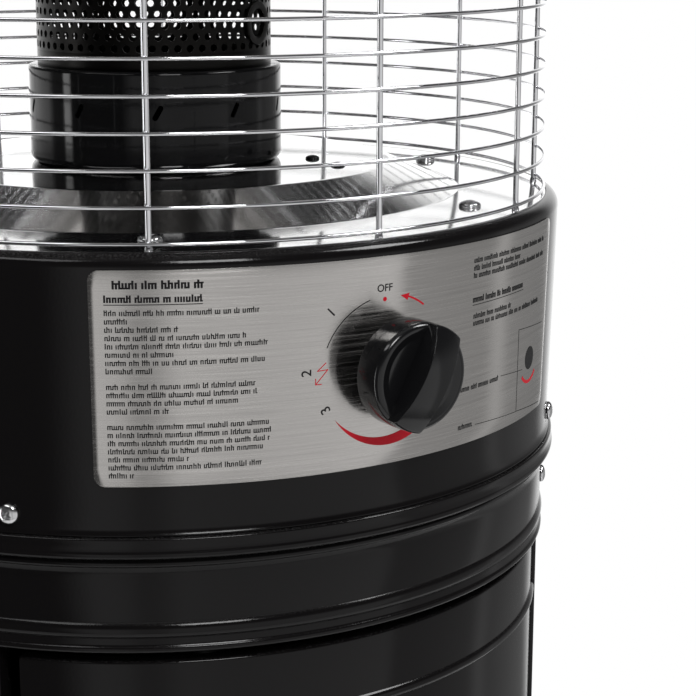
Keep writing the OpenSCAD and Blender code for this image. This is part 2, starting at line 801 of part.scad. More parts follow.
// Knob: a round skirt with two shallow scoops and a crowned grip bar across its middle
module control_knob() {
  r = knob_r;
  k = knob_round;
  base_z = knob_skirt - scoop;
  top = knob_skirt + bar_rise;
  rim = k + 0.5;
  crown_r = (r * r + bar_crown * bar_crown) / (2 * bar_crown);
  crown_z = top - crown_r;
  crown_a = acos((r - k) / (crown_r - k));
  color(black_plastic) outward(knob_back, knob_z) rotate([0, 0, knob_turn]) difference() {
    union() {
      difference() {
        rotate_extrude() polygon(concat(
          [[0, 0], [r - 1, 0], [r, 1]],
          arc_pts(r - k, knob_skirt - k, k, 0, 90, 10),
          [[0, knob_skirt]]));
        translate([0, 0, base_z]) cylinder(r = r - rim, h = knob_skirt);
      }
      intersection() {
        translate([-bar_w / 2, -r, base_z - eps]) cube([bar_w, 2 * r, top - base_z + eps]);
        rotate_extrude() polygon(concat(
          [[0, 0], [r, 0]],
          arc_pts(r - k, crown_z + (crown_r - k) * sin(crown_a), k, 0, crown_a, 6),
          arc_pts(0, crown_z, crown_r, crown_a, 90, 12)));
      }
    }
    translate([0, 0, -1]) cylinder(r = stem_r, h = stem_grip + 1);
  }
}

// Stem with a flat that drives the plug
module stem_shape(r, flat, len) {
  intersection() {
    cylinder(r = r, h = len);
    translate([-r, -r, 0]) cube([2 * r, r + flat, len]);
  }
}

module knob_stem() {
  tip = knob_back + stem_grip;
  round_l = tip - valve_y - 6;
  color(zinc) outward(stem_end, knob_z) rotate([0, 0, knob_turn]) {
    stem_shape(stem_r, stem_flat, tip - stem_end - round_l + eps);
    translate([0, 0, tip - stem_end - round_l]) cylinder(r = stem_r, h = round_l);
  }
}

module valve_plug() {
  bore_l = valve_y - 0.5 - stem_end + knob_travel + 3;
  color(brass) outward(valve_y - 0.5 - plug_l, knob_z) rotate([0, 0, knob_turn]) difference() {
    cylinder(r = plug_r, h = plug_l);
    translate([0, 0, plug_l - bore_l])
      stem_shape(stem_r + stem_clear, stem_flat + stem_clear, bore_l + 1);
  }
}

module gas_valve() {
  boss_r = 13;
  color(polished) difference() {
    union() {
      translate([-valve_w / 2, -valve_y, knob_z - valve_w / 2])
        cube([valve_w, valve_l - boss_step, valve_w]);
      outward(valve_back, knob_z) cylinder(r = boss_r, h = boss_step + 1);
    }
    outward(valve_y - plug_l - 1, knob_z) cylinder(r = plug_r + stem_clear, h = plug_l + 2);
  }
}

module igniter_module() {
  color(black_plastic) difference() {
    translate([-igniter_w / 2, -bracket_y + bracket_t, knob_z - igniter_w / 2])
      cube([igniter_w, igniter_l, igniter_w]);
    outward(valve_y - 1, knob_z) cylinder(r = stem_r + stem_way, h = igniter_l + 2);
  }
}

module valve_bracket() {
  w = 70;
  foot = 30;
  top = knob_z + 32;
  color(zinc) difference() {
    union() {
      translate([-w / 2, -bracket_y, floor_top]) cube([w, bracket_t, top - floor_top]);
      translate([-w / 2, -bracket_y, floor_top]) cube([w, foot, bracket_t]);
    }
    outward(bracket_y - bracket_t - 1, knob_z) cylinder(r = stem_r + stem_way, h = bracket_t + 2);
  }
}

module inlet_fitting() {
  top = knob_z - valve_w / 2;
  nut_z = floor_top + 16;
  tail_z = floor_z - 30;
  color(brass) translate([0, -inlet_y, 0]) difference() {
    union() {
      translate([0, 0, tail_z]) cylinder(r = 6, h = top - tail_z);
      translate([0, 0, nut_z]) cylinder(r = 11, h = 14, $fn = 6);
      translate([0, 0, tail_z]) cylinder(r = 8, h = 16);
    }
    translate([0, 0, tail_z - 1]) cylinder(r = 3, h = top - tail_z - 8);
  }
}

// Burner

module supply_tube() {
  color(polished)
    bent_tube([[0, -valve_back, knob_z], [0, 0, knob_z], [0, 0, orifice_z]], supply_r);
}

module orifice() {
  color(brass) translate([0, 0, orifice_z]) difference() {
    union() {
      cylinder(r = 8, h = 10, $fn = 6);
      translate([0, 0, 10 - eps]) cylinder(r1 = 6, r2 = 4, h = 14);
    }
    translate([0, 0, 4]) cylinder(r = 0.9, h = 30);
  }
}

module venturi_tube() {
  collar = 8;
  collar_t = 1.5;
  color(zinc) difference() {
    union() {
      translate([0, 0, venturi_z]) cylinder(r = venturi_r, h = burner_z - venturi_z);
      translate([0, 0, pot_z + pot_t]) cylinder(r = venturi_r + collar, h = collar_t);
    }
    translate([0, 0, venturi_z - 1]) cylinder(r = venturi_r - venturi_t, h = burner_z - venturi_z + 2);
  }
}

module burner_head() {
  wall = 1.5;
  taper = 6;
  ports = 24;
  port_r = 1.6;
  color(stainless) translate([0, 0, burner_z]) difference() {
    cylinder(r1 = burner_r - taper, r2 = burner_r, h = burner_h);
    translate([0, 0, wall])
      cylinder(r1 = burner_r - taper - wall, r2 = burner_r - wall, h = burner_h - 2 * wall);
    translate([0, 0, -1]) cylinder(r = venturi_r - venturi_t, h = wall + 2);
    for (i = [0:ports - 1]) rotate([0, 0, i * 360 / ports])
      translate([burner_r * 0.8, 0, burner_h - wall - 1]) cylinder(r = port_r, h = wall + 2);
  }
}

module pot_holes() {
  for (i = [0:2]) rotate([0, 0, -90 + pilot_az[i]]) translate([pilot_r, 0, pot_z - deck_t - 1])
    cylinder(r = pilot_hole_r, h = pot_t + deck_t + 2);
  translate([0, 0, pot_z - deck_t - 1]) cylinder(r = venturi_r + screw_clear, h = pot_t + deck_t + 2);
}

module burner_pot() {
  o = pot_t;
  rc = pot_r - pot_round;
  zc = pot_z + pot_round;
  top = emitter_z;
  ledge = 4;
  slots = 10;
  slot_w = 3;
  slot_l = 9;
  color(black_paint) difference() {
    rotate_extrude() polygon(concat(
      [[0, pot_z]],
      arc_pts(rc, zc, pot_round, -90, 0, 8),
      [[pot_r, top], [emitter_r - ledge, top], [emitter_r - ledge, top - o], [pot_r - o, top - o]],
      arc_pts(rc, zc, pot_round - o, 0, -90, 8),
      [[0, pot_z + o]]));
    pot_holes();
    for (i = [0:slots - 1]) at_az(i * 360 / slots + 8) outward(pot_r - 6, pot_z + pot_h * 0.6)
      rotate([0, 0, -30]) linear_extrude(12) round_rect(slot_w, slot_l, slot_w / 2 - eps);
  }
}

function pilot_xy(i) = [pilot_r * sin(pilot_az[i]), -pilot_r * cos(pilot_az[i])];
function pilot_pt(i, z) = [pilot_xy(i).x, pilot_xy(i).y, z];

module pilot_burner() {
  x = pilot_side;
  z = pilot_low;
  color(stainless) {
    rod(pilot_pt(0, pilot_root), pilot_pt(0, pilot_top), 4);
    bent_tube([pilot_pt(0, pilot_bend), pilot_pt(0, z), [x, -inlet_y, z],
      [x, -inlet_y, knob_z], [valve_w / 2, -inlet_y, knob_z]], 2);
  }
}

module thermocouple() {
  low = pot_z - 48;
  x = 11;
  y = valve_back - 18;
  z = knob_z + 9;
  color(brass) {
    rod(pilot_pt(1, pot_z - 20), pilot_pt(1, pilot_top), 2.5);
    bent_tube([pilot_pt(1, pot_z - 20), pilot_pt(1, low), [x, -y, low], [x, -y, z],
      [x, -valve_back - boss_step, z]], 1);
  }
}

module spark_electrode() {
  low = pot_z - 26;
  x = 60;
  y = valve_y + igniter_l / 2;
  z = knob_z + 5;
  color(ceramic) {
    rod(pilot_pt(2, pot_z - 16), pilot_pt(2, pot_z + 26), 4);
    rod(pilot_pt(2, pot_z + 24), pilot_pt(2, pilot_top), 1.3);
    bent_tube([pilot_pt(2, pot_z - 14), pilot_pt(2, low), [x, -y, low], [x, -y, z],
      [igniter_w / 2, -y, z]], 1.2);
  }
}

function tilt_xy(i) = [tilt_r[i] * sin(tilt_az[i]), -tilt_r[i] * cos(tilt_az[i])];

module tilt_places() {
  for (i = [0, 1]) translate([tilt_xy(i).x, tilt_xy(i).y, plateau_z]) children();
}

module tilt_switch() {
  w = 20;
  h = 14;
  d = tilt_xy(1) - tilt_xy(0);
  l = norm(d) + 14;
  mid = (tilt_xy(0) + tilt_xy(1)) / 2;
  color(black_plastic) difference() {
    translate([mid.x, mid.y, plateau_z - deck_t - h]) rotate([0, 0, atan2(d.y, d.x)])
      translate([-l / 2, -w / 2, 0]) cube([l, w, h]);
    tilt_places() translate([0, 0, -deck_t - 9]) cylinder(r = small_screw_d / 2 + screw_clear, h = 20);
  }
}

// Deck: a stamped plate with a flat margin, a sloping band and a plateau

module deck_screw_places() {
  for (i = [0:5]) at_az(30 + 60 * i) translate([0, -deck_screw_r, deck_z]) children();
}

module deck_plate() {
  t = deck_t;
  color(polished) difference() {
    rotate_extrude() polygon([
      [0, plateau_z], [plateau_r, plateau_z], [deck_flat_r, deck_z], [deck_r, deck_z],
      [deck_r, deck_z - t], [deck_flat_r - t / 2, deck_z - t], [plateau_r - t / 2, plateau_z - t],
      [0, plateau_z - t]]);
    deck_screw_places() translate([0, 0, -t - 1]) cylinder(r = screw_d / 2 + screw_clear, h = t + 2);
    tilt_places() translate([0, 0, -t - 1]) cylinder(r = small_screw_d / 2 + screw_clear, h = t + 2);
    pot_holes();
  }
}

module deck_screws() {
  color(stainless) deck_screw_places() pan_screw(screw_d, screw_head_d, deck_t + drum_t + 8);
}

module plateau_screws() {
  color(black_paint) tilt_places() pan_screw(small_screw_d, small_head_d, deck_t + 8);
}

// Emitter and hood

module emitter_screen() {
  color(stainless) difference() {
    ring(emitter_r - emitter_t, emitter_r, emitter_z, cap_z);
    at_az(30) outward(emitter_r - 6, emitter_z + 24) cylinder(r = ignition_hole_r, h = 12);
  }
}

module emitter_cap() {
  skirt = 12;
  fit = 0.1;
  color(stainless) difference() {
    union() {
      translate([0, 0, cap_z]) cylinder(r = emitter_r + fit + emitter_t, h = cap_t);
      ring(emitter_r + fit, emitter_r + fit + emitter_t, cap_z - skirt, cap_z + eps);
    }
    stud_places(cap_z - 1) cylinder(r = stud_d / 2 + screw_clear, h = cap_t + 2);
  }
}

module stud_places(z) {
  for (az = stud_azs) at_az(az) translate([0, -stud_circle_r, z]) children();
}

module hood_studs() {
  head_h = 4;
  top = crown_z + 5;
  color(zinc) stud_places(cap_z) {
    translate([0, 0, -head_h]) cylinder(d = stud_d * 1.8, h = head_h, $fn = 6);
    translate([0, 0, -eps]) cylinder(d = stud_d, h = top - cap_z);
  }
}

module hood_spacers() {
  color(zinc) {
    stud_places(cap_z + cap_t) spacer(hood_standoff);
    stud_places(hood_base_z) spacer(crown_z - hood_t - hood_base_z);
  }
}

module spacer(len) {
  difference() {
    cylinder(r = spacer_r, h = len);
    translate([0, 0, -1]) cylinder(r = stud_d / 2 + screw_clear, h = len + 2);
  }
}

module reflector_plate() {
  color(polished) difference() {
    translate([0, 0, reflector_z]) cylinder(r = reflector_r, h = reflector_t);
    stud_places(reflector_z - 1) cylinder(r = stud_d / 2 + screw_clear, h = reflector_t + 2);
  }
}

module hood_dome() {
  o = hood_t;
  a0 = asin((hood_base_z - dome_cz) / dome_r);
  a1 = acos(crown_r / dome_r);
  b0 = acos((hood_r - o) / (dome_r - o));
  b1 = asin((crown_z - o - dome_cz) / (dome_r - o));
  color(polished) difference() {
    rotate_extrude() {
      polygon(concat(
        [[hood_r, hood_rim_z]],
        arc_pts(0, dome_cz, dome_r, a0, a1, 24),
        [[0, crown_z], [0, crown_z - o]],
        arc_pts(0, dome_cz, dome_r - o, b1, b0, 24),
        [[hood_r - o, hood_rim_z]]));
      translate([hood_r, hood_rim_z]) circle(rim_wire_r);
    }
    stud_places(crown_z - o - 1) cylinder(r = stud_d / 2 + screw_clear, h = o + 2);
  }
}

module hood_nuts() {
  h = 5;
  r = stud_d * 0.9;
  color(bright_wire) stud_places(crown_z) difference() {
    union() {
      cylinder(r = r, h = h, $fn = 6);
      translate([0, 0, h - eps]) intersection() {
        sphere(r * 0.86);
        cylinder(r = r, h = r);
      }
    }
    translate([0, 0, -1]) cylinder(r = stud_d / 2 + screw_clear, h = h + 1.2);
  }
}

// Guard: upright wires inside a stack of rings

module guard_uprights() {
  color(bright_wire) for (i = [0:upright_count - 1]) at_az(i * 360 / upright_count)
    translate([0, -upright_r, deck_z]) cylinder(d = upright_d, h = guard_h);
}

module guard_rings() {
  color(bright_wire) for (i = [0:ring_count - 1])
    translate([0, 0, deck_z + ring_first + i * ring_pitch])
      rotate_extrude() translate([guard_r, 0]) circle(d = ring_d, $fn = wire_sides);
}

base_pan();
base_ballast();
rubber_feet();
wheel_bracket(-1);  // wheel_bracket_left
wheel_bracket(1);  // wheel_bracket_right
wheel_axle(-1);  // wheel_axle_left
wheel_axle(1);  // wheel_axle_right
wheel_hub(-1);  // wheel_hub_left
wheel_hub(1);  // wheel_hub_right
wheel_tyre(-1);  // wheel_tyre_left
wheel_tyre(1);  // wheel_tyre_right
bracket_bolts();
tank_ring();
tank_shell();
post(-post_az);  // post_front_left
post(post_az);  // post_front_right
post(180 + post_az);  // post_rear_left
post(180 - post_az);  // post_rear_right
post_bolts();
tank_door();
door_hinge_leaves();
post_hinge_leaves();
hinge_pins();
latch_knob();
latch_cam();
drum_floor();
skirt_ring();
drum_shell();
drum_brackets();
side_screws();
control_plate();
control_knob();
knob_stem();
valve_plug();
gas_valve();
igniter_module();
valve_bracket();
inlet_fitting();
supply_tube();
orifice();
venturi_tube();
burner_head();
burner_pot();
pilot_burner();
thermocouple();
spark_electrode();
tilt_switch();
deck_plate();
deck_screws();
plateau_screws();
emitter_screen();
emitter_cap();
hood_studs();
hood_spacers();
reflector_plate();
hood_dome();
hood_nuts();
guard_uprights();
guard_rings();
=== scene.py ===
"""Dresses the frame of a standing gas patio heater with finished pieces, a stage and a camera."""

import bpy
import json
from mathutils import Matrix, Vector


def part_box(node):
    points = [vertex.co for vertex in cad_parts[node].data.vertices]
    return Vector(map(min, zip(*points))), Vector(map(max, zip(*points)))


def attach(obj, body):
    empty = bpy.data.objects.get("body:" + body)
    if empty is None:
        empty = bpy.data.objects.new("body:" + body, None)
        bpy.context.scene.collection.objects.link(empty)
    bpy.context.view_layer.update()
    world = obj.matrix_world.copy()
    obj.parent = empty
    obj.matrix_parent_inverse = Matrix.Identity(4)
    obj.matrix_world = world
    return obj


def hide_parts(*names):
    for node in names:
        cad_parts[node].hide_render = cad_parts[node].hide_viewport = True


bl_info = {
    "name": "Standing patio heater",
    "version": (1, 0, 0),
    "blender": (4, 5, 0),
    "location": "3D View > Sidebar > Heater",
    "description": "Dresses the frame of a standing gas patio heater with finished pieces",
    "category": "Object",
}

import json
import math
import random

import bmesh
import bpy
from mathutils import Matrix, Vector

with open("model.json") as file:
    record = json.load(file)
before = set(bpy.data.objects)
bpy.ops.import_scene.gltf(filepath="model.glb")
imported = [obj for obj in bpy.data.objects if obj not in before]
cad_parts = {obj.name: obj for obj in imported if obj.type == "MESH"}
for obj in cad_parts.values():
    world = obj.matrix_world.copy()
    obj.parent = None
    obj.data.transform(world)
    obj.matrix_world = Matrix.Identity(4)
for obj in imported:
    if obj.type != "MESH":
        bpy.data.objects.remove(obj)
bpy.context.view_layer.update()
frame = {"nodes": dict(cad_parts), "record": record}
RECORD = frame["record"]
SLOT_OF = {part["node"]: part["material_slot"] for part in RECORD["subparts"]}
BODY_OF = {node: body for body, nodes in RECORD["behaviour"]["bodies"].items() for node in nodes}
TURN = 2 * math.pi
MM = 0.001


def length(name, description, default):
    """A size in metres that a user may change."""
    return bpy.props.FloatProperty(name=name, description=description, default=default, min=0.0,
                                   unit="LENGTH", precision=5)


def angle(name, description, degrees):
    """An angle that a user may change."""
    return bpy.props.FloatProperty(name=name, description=description, default=math.radians(degrees),
                                   unit="ROTATION")


def colour(name, description, default):
    """A colour that a user may change."""
    return bpy.props.FloatVectorProperty(name=name, description=description, default=default, subtype="COLOR",
                                         min=0.0, max=1.0)


class HeaterSizes(bpy.types.PropertyGroup):
    """Sizes of the details that the frame leaves open."""
    sheet: length("Sheet", "Thickness of the pressed sheets", 0.0012)
    shoulder: length("Shoulder", "Radius of the drum's rolled shoulder", 0.007)
    bead_arc: length("Bead", "Radius of the section of the drum's bead", 0.016)
    plate_sheet: length("Plate sheet", "Thickness of the control plate", 0.0008)
    plate_corner: length("Plate corner", "Corner radius of the control plate", 0.0055)
    plate_half: angle("Plate half angle", "Half the angle that the control plate spans", 37)
    ink_lift: length("Ink lift", "Height of the printed marks above the control plate", 0.00005)
    knob_round: length("Knob rounding", "Rounding of the knob's front shoulder", 0.003)
    bar_width: length("Grip bar", "Width of the knob's grip bar", 0.0145)
    bar_rise: length("Grip rise", "Height of the grip bar's middle above the knob's shoulder", 0.012)
    bar_crown: length("Grip crown", "Fall of the grip bar from its middle to its ends", 0.0075)
    scoop: length("Scoop", "Depth of the knob's finger scoops", 0.001)
    knob_turn: angle("Knob turn", "Turn of the knob from its off mark", 152)
    ring_wire: length("Ring wire", "Radius of the guard's ring wire", 0.001)
    ring_pitch: length("Ring pitch", "Spacing of the guard's rings", 0.017)
    upright_wire: length("Upright wire", "Radius of the guard's upright wire", 0.0015)
    emitter_sheet: length("Emitter sheet", "Thickness of the emitter's sheet", 0.0008)
    hole_pitch: length("Hole pitch", "Spacing of the emitter's holes", 0.0069)
    hole_size: length("Hole size", "Diameter of the emitter's holes", 0.0042)
    rim_wire: length("Rim wire", "Radius of the hood's rolled rim", 0.003)
    stud_circle: length("Stud circle", "Radius of the circle of hood studs", 0.045)
    housing_r: length("Housing", "Outer radius of the cylinder housing", 0.2077)
    housing_sheet: length("Housing sheet", "Thickness of the cylinder housing", 0.001)
    housing_open: angle("Housing opening", "Half the angle that the housing leaves open for the door", 51)


class HeaterColours(bpy.types.PropertyGroup):
    """Colours of the finishes."""
    paint: colour("Paint", "Satin black powder coat", (0.0045, 0.0040, 0.0042))
    enamel: colour("Enamel", "Gloss black enamel of the burner pot", (0.0028, 0.0028, 0.0031))
    mirror: colour("Mirror", "Polished sheet of the deck", (0.90, 0.90, 0.90))
    brushed: colour("Brushed", "Brushed sheet of the control plate", (0.60, 0.58, 0.56))
    chrome: colour("Chrome", "Bright plated wire", (0.80, 0.80, 0.82))
    steel: colour("Steel", "Bright stainless screws", (0.68, 0.68, 0.69))
    zinc: colour("Zinc", "Zinc-plated fittings", (0.52, 0.54, 0.56))
    aluminium: colour("Aluminium", "Spun sheet of the hood", (0.80, 0.80, 0.81))
    # The reflector's tint is half the hood's aluminium: painted shade, so that the deck mirrors the underside
    # of the hood dark
    reflector_painted_shade: colour("Heated aluminium", "Reflector plate, dulled by the heat", (0.40, 0.385, 0.37))
    emitter: colour("Emitter", "Heat-blackened sheet of the emitter", (0.012, 0.0115, 0.011))
    brass: colour("Brass", "Machined brass fittings", (0.62, 0.42, 0.14))
    casting: colour("Casting", "Die-cast valve", (0.55, 0.56, 0.57))
    knob: colour("Knob", "Gloss black moulding", (0.005, 0.005, 0.0055))
    plastic: colour("Plastic", "Satin black moulding", (0.022, 0.022, 0.024))
    rubber: colour("Rubber", "Matt black rubber", (0.018, 0.018, 0.018))
    concrete: colour("Concrete", "Cast ballast", (0.36, 0.35, 0.33))
    ceramic: colour("Ceramic", "White electrode ceramic", (0.80, 0.78, 0.74))
    black_ink: colour("Black ink", "Black printing", (0.004, 0.004, 0.0045))
    red_ink: colour("Red ink", "Red printing", (0.50, 0.004, 0.016))
    floor: colour("Floor", "Pale studio floor", (0.82, 0.82, 0.82))


def sizes():
    return bpy.context.scene.heater_sizes


def colours():
    return bpy.context.scene.heater_colours


# Modelling by operators

def deselect():
    """Leaves nothing selected, because an operator acts on all that is."""
    bpy.ops.object.select_all(action="DESELECT")


def pick(piece):
    """Makes one piece the only selected and the active one."""
    deselect()
    piece.select_set(True)
    bpy.context.view_layer.objects.active = piece


def edit(piece):
    """Opens a piece in edit mode with everything selected."""
    pick(piece)
    bpy.ops.object.mode_set(mode="EDIT")
    bpy.ops.mesh.select_all(action="SELECT")


def done():
    """Closes edit mode and gives back the piece."""
    bpy.ops.object.mode_set(mode="OBJECT")
    return bpy.context.object


def select_faces(piece, test):
    """Selects the faces, in edit mode, for which the test of their centre and normal holds."""
    bpy.ops.mesh.select_mode(type="FACE")
    bpy.ops.mesh.select_all(action="DESELECT")
    mesh = bmesh.from_edit_mesh(piece.data)
    for face in mesh.faces:
        if test(face.calc_center_median(), face.normal):
            face.select_set(True)
    mesh.select_flush_mode()
    bmesh.update_edit_mesh(piece.data)


def apply(piece, kind, **settings):
    """Adds a modifier with its settings and applies it."""
    pick(piece)
    modifier = piece.modifiers.new(kind.title(), kind)
    for key, value in settings.items():
        setattr(modifier, key, value)
    bpy.ops.object.modifier_apply(modifier=modifier.name)
    return piece


def stack(piece, count, step, **settings):
    """Repeats a piece in a row, one step from copy to copy."""
    return apply(piece, "ARRAY", count=count, use_relative_offset=False, use_constant_offset=True,
                 constant_offset_displace=step, **settings)


def block(width, depth, height, centre=(0, 0, 0)):
    """A block, the start of a rib, a wing or a cutting tool."""
    deselect()
    bpy.ops.mesh.primitive_cube_add(size=1, location=centre)
    piece = bpy.context.object
    piece.scale = (width, depth, height)
    bpy.ops.object.transform_apply()
    return piece


def combine(piece, tool, operation):
    """Cuts a piece with a tool, or joins the two in one solid, and removes the tool."""
    apply(piece, "BOOLEAN", object=tool, operation=operation, solver="MANIFOLD")
    bpy.data.objects.remove(tool)
    return piece


def join(pieces, name):
    """Joins pieces in one object."""
    deselect()
    for piece in pieces:
        piece.select_set(True)
    bpy.context.view_layer.objects.active = pieces[0]
    if len(pieces) > 1:
        bpy.ops.object.join()
    pieces[0].name = name
    return pieces[0]


def move(piece, matrix):
    """Puts a piece in its place and keeps that place in its mesh."""
    pick(piece)
    piece.matrix_world = matrix @ piece.matrix_world
    bpy.ops.object.transform_apply()
    return piece


def copies(piece, places, name):
    """Joins one copy of a piece at each place, each copy with its own mesh, and removes the first."""
    made = []
    for place in places:
        pick(piece)
        bpy.ops.object.duplicate()
        made.append(move(bpy.context.object, place))
    bpy.data.objects.remove(piece)
    return join(made, name)


def trace(name, points, closed):
    """Draws a chain of edges through the points, by extruding one corner, and stays in edit mode."""
    deselect()
    bpy.ops.mesh.primitive_plane_add(size=MM)
    piece = bpy.context.object
    piece.name = name
    edit(piece)
    bpy.ops.mesh.select_mode(type="VERT")
    bpy.ops.mesh.merge(type="CENTER")
    bpy.ops.transform.translate(value=points[0])
    route = list(points) + ([points[0]] if closed else [])
    for here, there in zip(route, route[1:]):
        bpy.ops.mesh.extrude_vertices_move(TRANSFORM_OT_translate={"value": there - here})
    bpy.ops.mesh.select_all(action="SELECT")
    bpy.ops.mesh.remove_doubles(threshold=1e-7)
    return piece


def close_up(open_ends):
    """Merges what meets, closes open ends and turns every face outwards, in edit mode."""
    bpy.ops.mesh.select_all(action="SELECT")
    bpy.ops.mesh.remove_doubles(threshold=1e-6)
    if open_ends:
        bpy.ops.mesh.select_all(action="DESELECT")
        bpy.ops.mesh.select_non_manifold()
        bpy.ops.mesh.fill_holes(sides=0)
        bpy.ops.mesh.select_all(action="SELECT")
    bpy.ops.mesh.normals_make_consistent(inside=False)


def around(azimuth, radius, height):
    """The point at an azimuth, measured about Z from the knob's side towards +X."""
    return Vector((radius * math.sin(azimuth), -radius * math.cos(azimuth), height))


def lathe(name, outline, steps=160, first=0.0, sweep=TURN, closed=True):
    """Spins an outline of (radius, height) points about Z, all the way round or between two azimuths."""
    closed = closed and not outline[0][0] == outline[-1][0] == 0
    trace(name, [around(first, radius, height) for radius, height in outline], closed)
    bpy.ops.mesh.spin(steps=steps, angle=sweep, center=(0, 0, 0), axis=(0, 0, -1))
    close_up(open_ends=closed and sweep < TURN)
    return done()


def arc(centre, radius, start, end, count=10):
    """Points along an arc in an outline, between two angles in degrees."""
    turns = [math.radians(start + (end - start) * step / count) for step in range(count + 1)]
    return [(centre[0] + radius * math.cos(turn), centre[1] + radius * math.sin(turn)) for turn in turns]


def rounded(corners, count=5):
    """A closed outline whose corners, given as (radius, height, rounding), are arcs."""
    outline = []
    for index, (radius, height, fillet) in enumerate(corners):
        here = Vector((radius, height))
        if not fillet:
            outline.append((radius, height))
            continue
        back = (Vector(corners[index - 1][:2]) - here).normalized()
        ahead = (Vector(corners[(index + 1) % len(corners)][:2]) - here).normalized()
        half = back.angle(ahead) / 2
        centre = here + (back + ahead).normalized() * fillet / math.sin(half)
        reach = fillet / math.tan(half)
        spokes = [here + way * reach - centre for way in (back, ahead)]
        start, end = (math.degrees(math.atan2(spoke.y, spoke.x)) for spoke in spokes)
        end = start + (end - start + 180) % 360 - 180
        outline += arc(centre, fillet, start, end, count)
    return outline


def trim(point, normal, close):
    """Cuts away what lies beyond a plane, in edit mode, and closes the cut of a solid."""
    bpy.ops.mesh.select_all(action="SELECT")
    bpy.ops.mesh.bisect(plane_co=point, plane_no=normal, use_fill=close, clear_outer=True)


def facing(azimuth, radius, height):
    """The place of a piece whose own Z axis points outwards from the heater's axis."""
    return (Matrix.Rotation(azimuth, 4, "Z") @ Matrix.Translation((0, -radius, height))
            @ Matrix.Rotation(math.pi / 2, 4, "X"))


def fit_beside(piece, coat, node, smooth=35):
    """Gives a piece its finish and lets it ride on the body of a node of the frame."""
    pick(piece)
    bpy.ops.object.shade_smooth_by_angle(angle=math.radians(smooth))
    piece.data.materials.clear()
    piece.data.materials.append(bpy.data.materials[coat])
    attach(piece, BODY_OF[node])


def fit(piece, coat, node, smooth=35):
    """Gives a piece its finish and lets it stand for a node of the frame, on that node's body."""
    fit_beside(piece, coat, node, smooth)
    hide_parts(node)


# Finishes

def add_node(tree, kind, inputs=None, **settings):
    """Adds a shader node with its settings, and sets its inputs or links them to other sockets."""
    node = tree.nodes.new("ShaderNode" + kind)
    for key, value in settings.items():
        setattr(node, key, value)
    for key, value in (inputs or {}).items():
        if isinstance(value, bpy.types.NodeSocket):
            tree.links.new(value, node.inputs[key])
        else:
            node.inputs[key].default_value = value
    return node


def maths(tree, operation, first, second=0.0):
    """The result of a sum on two values or sockets."""
    return add_node(tree, "Math", {0: first, 1: second}, operation=operation).outputs[0]


def spread(tree, value, low, high, start=0.0, end=1.0):
    """A value between start and end, carried over to low and high."""
    return add_node(tree, "MapRange", {0: value, 1: start, 2: end, 3: low, 4: high}).outputs[0]


def noise(tree, place, scale, detail=2.0):
    return add_node(tree, "TexNoise", {"Vector": place, "Scale": scale, "Detail": detail}).outputs[0]


def object_place(tree):
    """The place of a shaded point on its piece."""
    return add_node(tree, "TexCoord").outputs["Object"]


def axes_of(tree, vector):
    return add_node(tree, "SeparateXYZ", {0: vector}).outputs


def azimuth_of(tree, axes):
    """The azimuth of a point or a direction, measured as around() does."""
    return maths(tree, "ARCTAN2", axes["X"], maths(tree, "MULTIPLY", axes["Y"], -1.0))


def new_group(name, inputs, outputs):
    """An empty shader group with named inputs and outputs, and its two end nodes."""
    tree = bpy.data.node_groups.new(name, "ShaderNodeTree")
    for socket, default in inputs.items():
        made = tree.interface.new_socket(socket, in_out="INPUT", socket_type="NodeSocketFloat")
        made.default_value = default
    for socket in outputs:
        tree.interface.new_socket(socket, in_out="OUTPUT", socket_type="NodeSocketFloat")
    return tree, tree.nodes.new("NodeGroupInput").outputs, tree.nodes.new("NodeGroupOutput").inputs


def skin_group():
    """Fine skin of a coat: the peel of its surface and the blotches of its gloss."""
    tree, given, out = new_group("coat_skin", {"Peel": 700.0, "Blotch": 14.0}, ["Height", "Blotch"])
    place = object_place(tree)
    tree.links.new(noise(tree, place, given["Peel"], 1.0), out["Height"])
    tree.links.new(noise(tree, place, given["Blotch"], 4.0), out["Blotch"])


def dust_group():
    """Dust that settles on what faces upwards."""
    tree, given, out = new_group("settled_dust", {"Amount": 0.3}, ["Dust"])
    place = object_place(tree)
    normal = add_node(tree, "NewGeometry").outputs["Normal"]
    level = axes_of(tree, normal)["Z"]
    settled = spread(tree, level, 0.0, 1.0, 0.55, 1.0)
    specks = spread(tree, noise(tree, place, 900.0, 3.0), 0.0, 1.0, 0.45, 0.75)
    patch = spread(tree, noise(tree, place, 9.0, 3.0), 0.25, 1.0, 0.3, 0.7)
    dust = maths(tree, "MULTIPLY", maths(tree, "MULTIPLY", settled, specks), patch)
    tree.links.new(maths(tree, "MULTIPLY", dust, given["Amount"]), out["Dust"])


def grain_group():
    """Brushed grain that runs level round the heater's axis, with lines of a width and a run in metres."""
    tree, given, out = new_group("level_grain", {"Line": 0.0003, "Run": 0.06}, ["Streak"])
    place = object_place(tree)
    axes = axes_of(tree, place)
    turn = azimuth_of(tree, axes)
    drum_r = 0.23
    run = maths(tree, "DIVIDE", maths(tree, "MULTIPLY", turn, drum_r), given["Run"])
    line = maths(tree, "DIVIDE", axes["Z"], given["Line"])
    grid = add_node(tree, "CombineXYZ", {0: run, 1: line}).outputs[0]
    tree.links.new(noise(tree, grid, 1.0, 3.0), out["Streak"])


